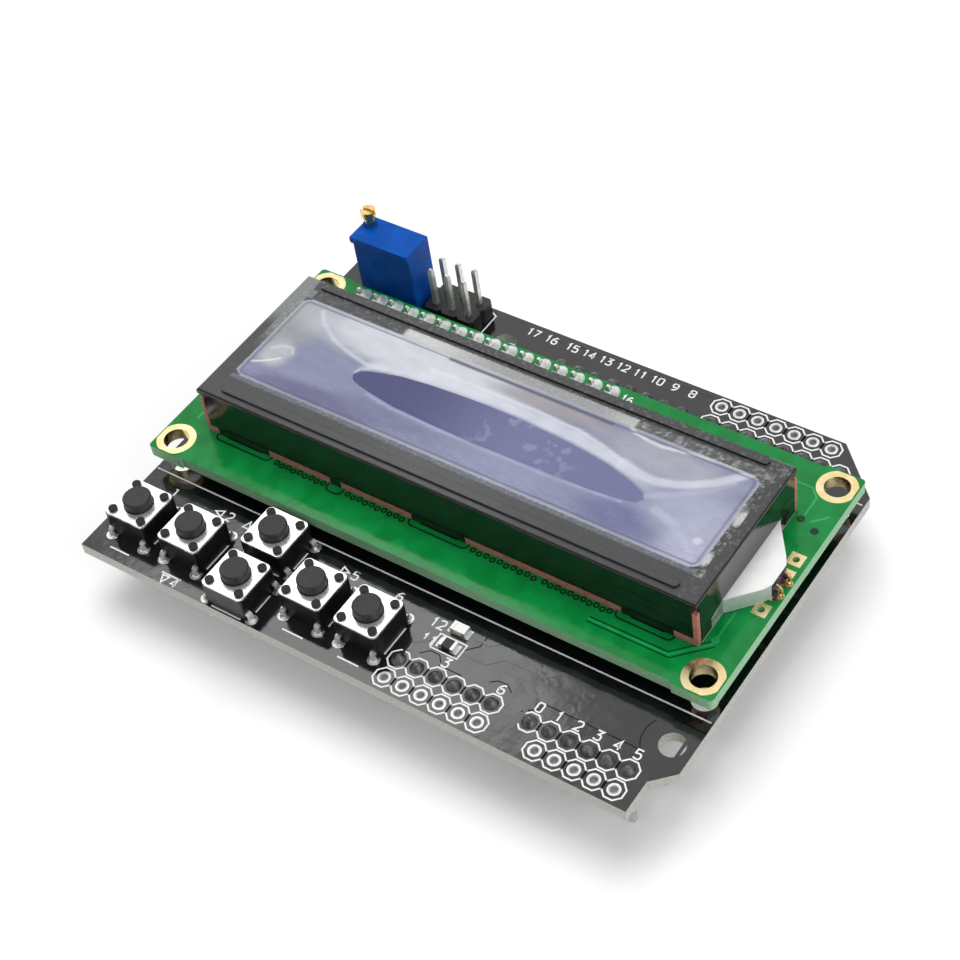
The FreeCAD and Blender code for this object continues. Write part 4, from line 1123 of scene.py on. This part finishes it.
@dataclass(frozen=True)
class Patch:
    """A soft-edged oval of the film whose tone is partly haze and partly painted highlight and
    reflection.
    """

    centre: Point
    half: Point
    tone: Colour
    share: float = 0.8

    def weight(self, x: float, y: float) -> float:
        """Give how much of the patch shows at a place."""
        reach = math.hypot((x - self.centre[0]) / self.half[0], (y - self.centre[1]) / self.half[1])
        return self.share * smooth(1.35, 0.5, reach)


@dataclass
class Film:
    """Thin film over the window, sunk where it clings to the glass, with painted highlights,
    reflections and shade in its tones; tones run from 0 to 255.
    """

    palette: Palette
    columns: int = 300
    rows: int = 78
    thin: float = 0.04
    solid: float = 0.93
    bend: float = 1.2
    sag_reach: float = 3.0
    lift_reach: float = 3.5
    raised: int = 7
    window: tuple[float, float, float, float] = (7.43, 24.12, 72.63, 39.02)
    cling_top: tuple[Point, ...] = (
        (20.5, 31.1), (21, 31.9), (22, 32.4), (24, 33), (26, 33.5), (30, 34), (34, 34.25),
        (38, 34.4), (42, 34.35), (46, 34.1), (50, 33.85), (53, 33.5), (56, 33), (58, 32.5),
        (60, 31.9), (61.5, 31.2), (62.1, 30.4))
    cling_low: tuple[Point, ...] = (
        (20.5, 31.1), (21, 30.3), (22, 29.95), (24, 29.5), (28, 28.9), (34, 28.6), (40, 28.5),
        (46, 28.6), (52, 28.7), (56, 28.8), (60, 29.25), (61.5, 29.7), (62.1, 30.4))
    crest: tuple[Point, ...] = (
        (20.5, 33), (22, 35), (24, 35.9), (28, 36.1), (36, 36.2), (44, 36.2), (50, 35.9),
        (54, 35.1), (58, 33.9), (60, 33.4), (62, 33.3), (64, 33.8), (66, 34.7), (68, 36),
        (70, 38), (71, 39))
    # white of the painted reflection on the lifted film between the clinging zone and the crest
    bright: Colour = (230, 233, 243)
    base: Colour = (150, 154, 182)
    # tones painted along the creases: the light ones are painted highlights, and the dark line
    # along the window's back edge is painted shade
    folds: tuple[Fold, ...] = (
        Fold(((10.8, 37.9), (12, 36.5), (13.5, 35.5), (15, 34.6), (17, 33.9), (19, 33.35),
              (20.8, 33.1), (24, 33.6)), 0.4, (226, 230, 235), 0.7),
        Fold(((24, 29.1), (28, 28.5), (40, 28.15), (52, 28.35), (60, 28.9)), 0.3,
             (178, 180, 212)),
        Fold(((55, 39.2), (56, 38.5), (58, 38.1), (60, 38), (62, 38.3), (64, 38.7), (67, 39),
              (70, 39.1)), 0.3, (240, 240, 240)),
        Fold(((8.3, 26.8), (9.3, 27.4), (10.2, 28), (11.1, 28.8)), 0.24, (245, 246, 248)),
        Fold(((9, 29.8), (10, 30.8), (11.4, 31), (11.9, 30.2)), 0.28, (228, 230, 232), 0.7),
        Fold(((62, 31), (65, 32.6), (68, 34.6), (70, 37)), 0.6, (200, 202, 222), 0.5),
        Fold(((64, 29.6), (67, 28.6), (69.5, 27.2), (71, 25.2)), 0.8, (200, 202, 225), 0.6),
        # painted shade along the window's inner back edge, seen through the film
        Fold(((30, 38.45), (53, 38.45)), 0.36, (98, 97, 112), 0.8),
        Fold(((29, 36.1), (36, 36.2), (44, 36.2), (50, 35.9), (54, 35.1), (57, 34.2)), 0.4,
             (240, 243, 250), 0.75),
        Fold(((57, 34.1), (60, 33.4), (62, 33.3), (64, 33.8), (66, 34.7), (68, 36), (70, 38),
              (71, 39)), 0.9, (226, 229, 241), 0.85))
    # painted highlight and painted shade along the window's edge, where the film bends down
    rim_light: Fold = Fold((), 0.26, (196, 200, 206), 0.75)
    rim_dark: Fold = Fold((), 0.22, (92, 92, 112), 0.55)
    # ovals of haze, and of painted highlight and reflection
    patches: tuple[Patch, ...] = (
        Patch((8.5, 35), (4.5, 5), (168, 172, 174), 0.9),
        Patch((19, 25.3), (9, 1.8), (118, 116, 152), 0.85),
        Patch((28, 27), (8, 2), (130, 134, 166), 0.7),
        Patch((46, 26), (7, 2.2), (160, 165, 196)),
        Patch((60.5, 26.5), (5, 2.5), (124, 127, 168), 0.85),
        Patch((70, 27), (3.5, 5), (196, 198, 220)),
        # painted reflection: the broad white oval along the back of the window
        Patch((26, 36.9), (17, 3.6), (226, 229, 234), 0.95),
        Patch((46, 37.4), (9, 0.9), (172, 167, 170), 0.85),
        Patch((62, 36.2), (9, 2.4), (185, 187, 198)),
        Patch((68, 31), (6, 4), (188, 190, 214)),
        # painted highlights: the left corner, and a glint at the right
        Patch((10.1, 29.3), (2.1, 2.4), (206, 209, 211), 0.85),
        Patch((70.6, 27.8), (0.6, 0.6), (232, 232, 250), 0.9))

    def depth_inside(self, x: float, y: float) -> float:
        """Give how far a place lies inside the zone that clings, or below 0 outside it."""
        start, end = self.cling_top[0], self.cling_top[-1]
        if start[0] < x < end[0]:
            return min(follow(self.cling_top, x) - y, y - follow(self.cling_low, x))
        return -math.dist((x, y), start if x <= start[0] else end)

    def inward(self, x: float, y: float) -> float:
        """Give how far a place lies inside the window, or below 0 on the frame."""
        left, front, right, back = self.window
        aside = max(left + self.bend - x, x - right + self.bend)
        along = max(front + self.bend - y, y - back + self.bend)
        if aside > 0.0 and along > 0.0:
            return self.bend - math.hypot(aside, along)
        return self.bend - max(aside, along)

    def height(self, x: float, y: float, rest: float, glass: float) -> float:
        """Give the film's height at a place.

        Args:
            x: place along the display.
            y: place across it.
            rest: height of the frame's face.
            glass: height of the glass.

        Returns:
            The height of the film's underside.
        """
        sag = smooth(0.0, self.sag_reach, self.inward(x, y))
        lift = smooth(0.0, self.lift_reach, -self.depth_inside(x, y))
        wave = noise.noise(Vector((x * 0.14, y * 0.3, 1.7))) * 0.16 * lift * sag
        for fold in self.folds[:self.raised]:
            wave += 0.1 * sag * smooth(fold.width * 2.5, 0.0, away(fold.path, x, y))
        deep = glass + 0.02 + (rest - glass - 0.1) * lift * 0.75
        return rest + 0.01 + (deep - rest - 0.01) * sag + wave

    def on_frame(self, x: float, y: float) -> tuple[Colour, float]:
        """Give the film's tone and cover where it lies on the frame.

        It carries a painted white reflection behind the window, is hazy at its left, and specked at
        its right and in the other places.
        """
        left, front, right, back = self.window
        specks = smooth(0.05, 0.4, noise.fractal(Vector((x * 1.3, y * 1.3, 9.0)), 1.0, 2.0, 4))
        # painted reflection: white behind the window, fading along X, with the film's specks at its
        # right end
        if y > back and 22.0 < x:
            fade = smooth(26.0, 38.0, x)
            level = 225 - 49 * fade + 29 * smooth(50.0, 55.0, x)
            ends = smooth(22.0, 22.6, x) * smooth(back + 1.45, back + 1.25, y)
            part = 0.9 if x < 55.5 else 0.35 * specks + 0.1
            return (level, level + 1, level), ends * part
        if x < left or (y > back and x < 8.2):
            return (160, 165, 165), smooth(28.0, 34.0, y) * (0.7 + 0.2 * specks)
        if x > right:
            spots = smooth(1.3, 0.7, math.hypot((x - 73.2) / 0.6, (y - 32.7) / 1.2))
            spots = max(spots, smooth(1.3, 0.7, math.hypot((x - 72.9) / 0.4, (y - 26) / 1.1)))
            return (215, 215, 217), max(0.9 * spots, 0.4 * specks)
        if y < front:
            return (150, 156, 162), 0.55 * smooth(front - 0.75, front - 0.55, y)
        return (150, 152, 156), 0.25 * specks

    def look(self, x: float, y: float) -> tuple[Vector, float]:
        """Give the film's tone, painted highlights, reflections and shade included, as light, and
        how far it covers, at a place.
        """
        if self.inward(x, y) < 0.0:
            tone, cover = self.on_frame(x, y)
            return linear(tone), cover
        tone = Vector(self.base)
        for patch in self.patches:
            tone = tone.lerp(Vector(patch.tone), patch.weight(x, y))
        # painted reflection: a white band on the lifted film, from the clinging zone back to the
        # crest
        if self.cling_top[0][0] < x < 64.0:
            inner = smooth(0.0, 0.5, y - follow(self.cling_top, x))
            outer = smooth(0.0, 0.5 + 1.5 * smooth(34.0, 26.0, x), follow(self.crest, x) - y)
            tone = tone.lerp(Vector(self.bright), 0.85 * inner * outer * smooth(64.0, 57.0, x))
        # painted highlights and shade along the creases
        for fold in self.folds:
            near = smooth(fold.width, fold.width * 0.3, away(fold.path, x, y))
            tone = tone.lerp(Vector(fold.tone), fold.share * near)
        cloudy = noise.fractal(Vector((x * 0.4, y * 0.8, 5.0)), 1.0, 2.0, 4)
        creased = smooth(30.0, 24.0, y) * noise.noise(Vector((x * 0.55, y * 4.5 + x, 2.0)))
        tone = tone * (1.0 + 0.04 * cloudy + 0.09 * creased)
        depth = self.inward(x, y)
        # painted highlight and painted shade round the window's edge
        for rim, inset in ((self.rim_light, 0.12), (self.rim_dark, 0.5)):
            near = smooth(rim.width, 0.0, abs(depth - inset))
            tone = tone.lerp(Vector(rim.tone), rim.share * near)
        return linear(tone), self.solid

    def build(self) -> None:
        """Make the film in place of its flat solid."""
        low, high = span("protective_film")
        glass = span("front_polariser")[1].z
        form = Form("window_film")
        wide = self.columns + 1
        layer_size = wide * (self.rows + 1)
        looks, clings, tops = [], [], []
        for row in range(self.rows + 1):
            y = low.y + (high.y - low.y) * row / self.rows
            for column in range(wide):
                x = low.x + (high.x - low.x) * column / self.columns
                under = self.height(x, y, low.z, glass)
                form.points.append(Vector((x, y, under)))
                tops.append(Vector((x, y, under + self.thin)))
                tone, cover = self.look(x, y)
                looks.append((*tone, 1.0 - math.sqrt(1.0 - cover)))
                clings.append(self.depth_inside(x, y))
        form.points += tops
        for row in range(self.rows):
            for column in range(self.columns):
                at = row * wide + column
                form.faces.append((at, at + wide, at + wide + 1, at + 1))
                over = at + layer_size
                form.faces.append((over, over + 1, over + wide + 1, over + wide))
        rim = list(range(self.columns))
        rim += [self.columns + row * wide for row in range(self.rows)]
        rim += [self.rows * wide + column for column in range(self.columns, 0, -1)]
        rim += [row * wide for row in range(self.rows, 0, -1)]
        for index, here in enumerate(rim):
            after = rim[(index + 1) % len(rim)]
            form.faces.append((here, after, after + layer_size, here + layer_size))
        piece = form.build(self.palette["film"], "shield", "film", 60.0)
        look = piece.data.attributes.new("look", "FLOAT_COLOR", "POINT")
        look.data.foreach_set("color", [part for colour in looks * 2 for part in colour])
        cling = piece.data.attributes.new("cling", "FLOAT", "POINT")
        cling.data.foreach_set("value", clings * 2)
        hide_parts("protective_film")


@dataclass
class Studio:
    """Camera, soft lamps, pale floor and white background."""

    azimuth: float = 38.357
    elevation: float = 47.33
    roll: float = -7.672
    distance: float = 251.732
    target: tuple[float, float, float] = (44.509, 38.946, 0.0)
    lens: float = 77.34
    shift: Point = (-0.0858, -0.0195)
    bright_side: tuple[float, float, float] = (-0.42, 0.54, 0.73)
    glow_spot: tuple[float, float, float] = (38.0, 2.0, 0.0)
    glow_reach: float = 0.6
    floor_half: float = 3.0
    floor_glow: float = 0.2
    soft_light: float = 0.36

    def camera(self) -> None:
        """Place the camera at the photograph's view."""
        az, el, roll = (math.radians(angle) for angle in (self.azimuth, self.elevation, self.roll))
        back = Vector((math.sin(az) * math.cos(el), -math.cos(az) * math.cos(el), math.sin(el)))
        right = Vector((0, 0, 1)).cross(back).normalized()
        up = back.cross(right)
        side = right * math.cos(roll) + up * math.sin(roll)
        head = up * math.cos(roll) - right * math.sin(roll)
        data = bpy.data.cameras.new("view")
        data.sensor_width, data.lens = 36.0, self.lens
        data.shift_x, data.shift_y = self.shift
        data.clip_start, data.clip_end = 0.01, 20.0
        camera = bpy.data.objects.new("view", data)
        turn = Matrix((side, head, back)).transposed()
        camera.matrix_world = Matrix.Translation(
            ORIGIN + (Vector(self.target) + back * self.distance) * MM) @ turn.to_4x4()
        bpy.context.scene.collection.objects.link(camera)
        bpy.context.scene.camera = camera

    def lamp(self, name: str, place: Sequence[float], size: Point, watts: float,
             glints: bool = True) -> None:
        """Hang a soft lamp that looks at the object.

        Args:
            name: the lamp's name.
            place: where it hangs, in metres.
            size: its width and height, in metres.
            watts: its power.
            glints: whether it shows in glossy surfaces.
        """
        data = bpy.data.lights.new(name, "AREA")
        data.shape = "RECTANGLE"
        data.size, data.size_y = size
        data.energy = watts
        lamp = bpy.data.objects.new(name, data)
        lamp.location = place
        lamp.rotation_euler = (-Vector(place)).to_track_quat("-Z", "Y").to_euler()
        lamp.visible_glossy = glints
        bpy.context.scene.collection.objects.link(lamp)

    def mirrored(self) -> Vector:
        """Give the place whose mirror image the camera sees at the glow spot."""
        spot = ORIGIN + Vector(self.glow_spot) * MM
        sight = (spot - bpy.context.scene.camera.matrix_world.translation).normalized()
        return spot + Vector((sight.x, sight.y, -sight.z)) * self.glow_reach

    def floor(self) -> None:
        """Lay a pale floor that looks white but keeps the shadow."""
        mesh = bpy.data.meshes.new("floor")
        half = self.floor_half
        mesh.from_pydata([(-half, -half, 0), (half, -half, 0), (half, half, 0), (-half, half, 0)],
                         [], [(0, 1, 2, 3)])
        floor = bpy.data.objects.new("floor", mesh)
        bpy.context.scene.collection.objects.link(floor)
        graph = Graph(bpy.data.materials.new("floor"))
        pale = graph.blend((0.84, 0.84, 0.84), (0.86, 0.86, 0.86), graph.cloud(0.02, 2.0))
        plain = graph.node("ShaderNodeBsdfDiffuse", values={"Color": pale})
        glow = graph.node("ShaderNodeEmission",
                          values={"Color": (1, 1, 1, 1), "Strength": self.floor_glow})
        both = graph.node("ShaderNodeAddShader", values={0: plain, 1: glow})
        mixed = graph.node("ShaderNodeMixShader", values={0: graph.seen(), 1: plain, 2: both})
        graph.node("ShaderNodeOutputMaterial", values={"Surface": mixed})
        mesh.materials.append(graph.owner)

    def world(self) -> None:
        """Surround the scene with soft light, white where it is looked at."""
        world = bpy.data.worlds.new("studio")
        bpy.context.scene.world = world
        graph = Graph(world)
        white = (1, 1, 1, 1)
        ahead = graph.node("ShaderNodeTexCoord", output="Generated")
        toward = graph.node("ShaderNodeVectorMath", {"operation": "DOT_PRODUCT"},
                            {0: ahead, 1: self.bright_side}, "Value")
        viewed = graph.node("ShaderNodeLightPath", output="Is Camera Ray")
        level = viewed.math("MAXIMUM", toward.ramp(0.25, 0.85, 0.2, 1.0))
        soft = graph.node("ShaderNodeBackground",
                          values={"Color": white, "Strength": self.soft_light})
        plain = graph.node("ShaderNodeBackground", values={"Color": white, "Strength": level})
        mixed = graph.node("ShaderNodeMixShader", values={0: graph.seen(), 1: soft, 2: plain})
        graph.node("ShaderNodeOutputWorld", values={"Surface": mixed})

    def build(self) -> None:
        """Set up the whole studio."""
        self.camera()
        self.lamp("top_lamp", (-0.08, 0.14, 0.85), (0.55, 0.55), 4.7, glints=False)
        self.lamp("side_lamp", (0.6, -0.1, 0.45), (0.4, 0.4), 1.3)
        self.lamp("window_lamp", self.mirrored(), (0.16, 0.12), 0.11)
        self.floor()
        self.world()
        bpy.context.scene.view_settings.view_transform = "Standard"


OWN_FINISH = {
    "guide_top_sheet": "bright_sheet",
    "pin_block_pins": "pin_tin",
    "lcd_header_pins": "pin_tin",
    "key_leads": "pin_tin",
}


def dress_nodes(palette: Palette) -> None:
    """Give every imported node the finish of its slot, or its own."""
    slots = {row["node"]: row["material_slot"] for row in frame["record"]["subparts"]}
    for name, node in frame["nodes"].items():
        own = "key_black" if name.endswith("_housing") else OWN_FINISH.get(name, slots[name])
        finish = palette[own]
        if not node.material_slots:
            node.data.materials.append(finish)
        for place in node.material_slots:
            place.material = finish
        LOG.info("%s: %s", name, finish.name)


def main() -> None:
    """Build the looks in order."""
    logging.basicConfig(level=logging.INFO, format="%(name)s %(message)s")
    palette = Palette()
    Studio().build()
    dress_nodes(palette)
    BlackBoard(palette).build()
    DisplayBoard(palette).build()
    Film(palette).build()


if __name__ == "__main__":
    main()
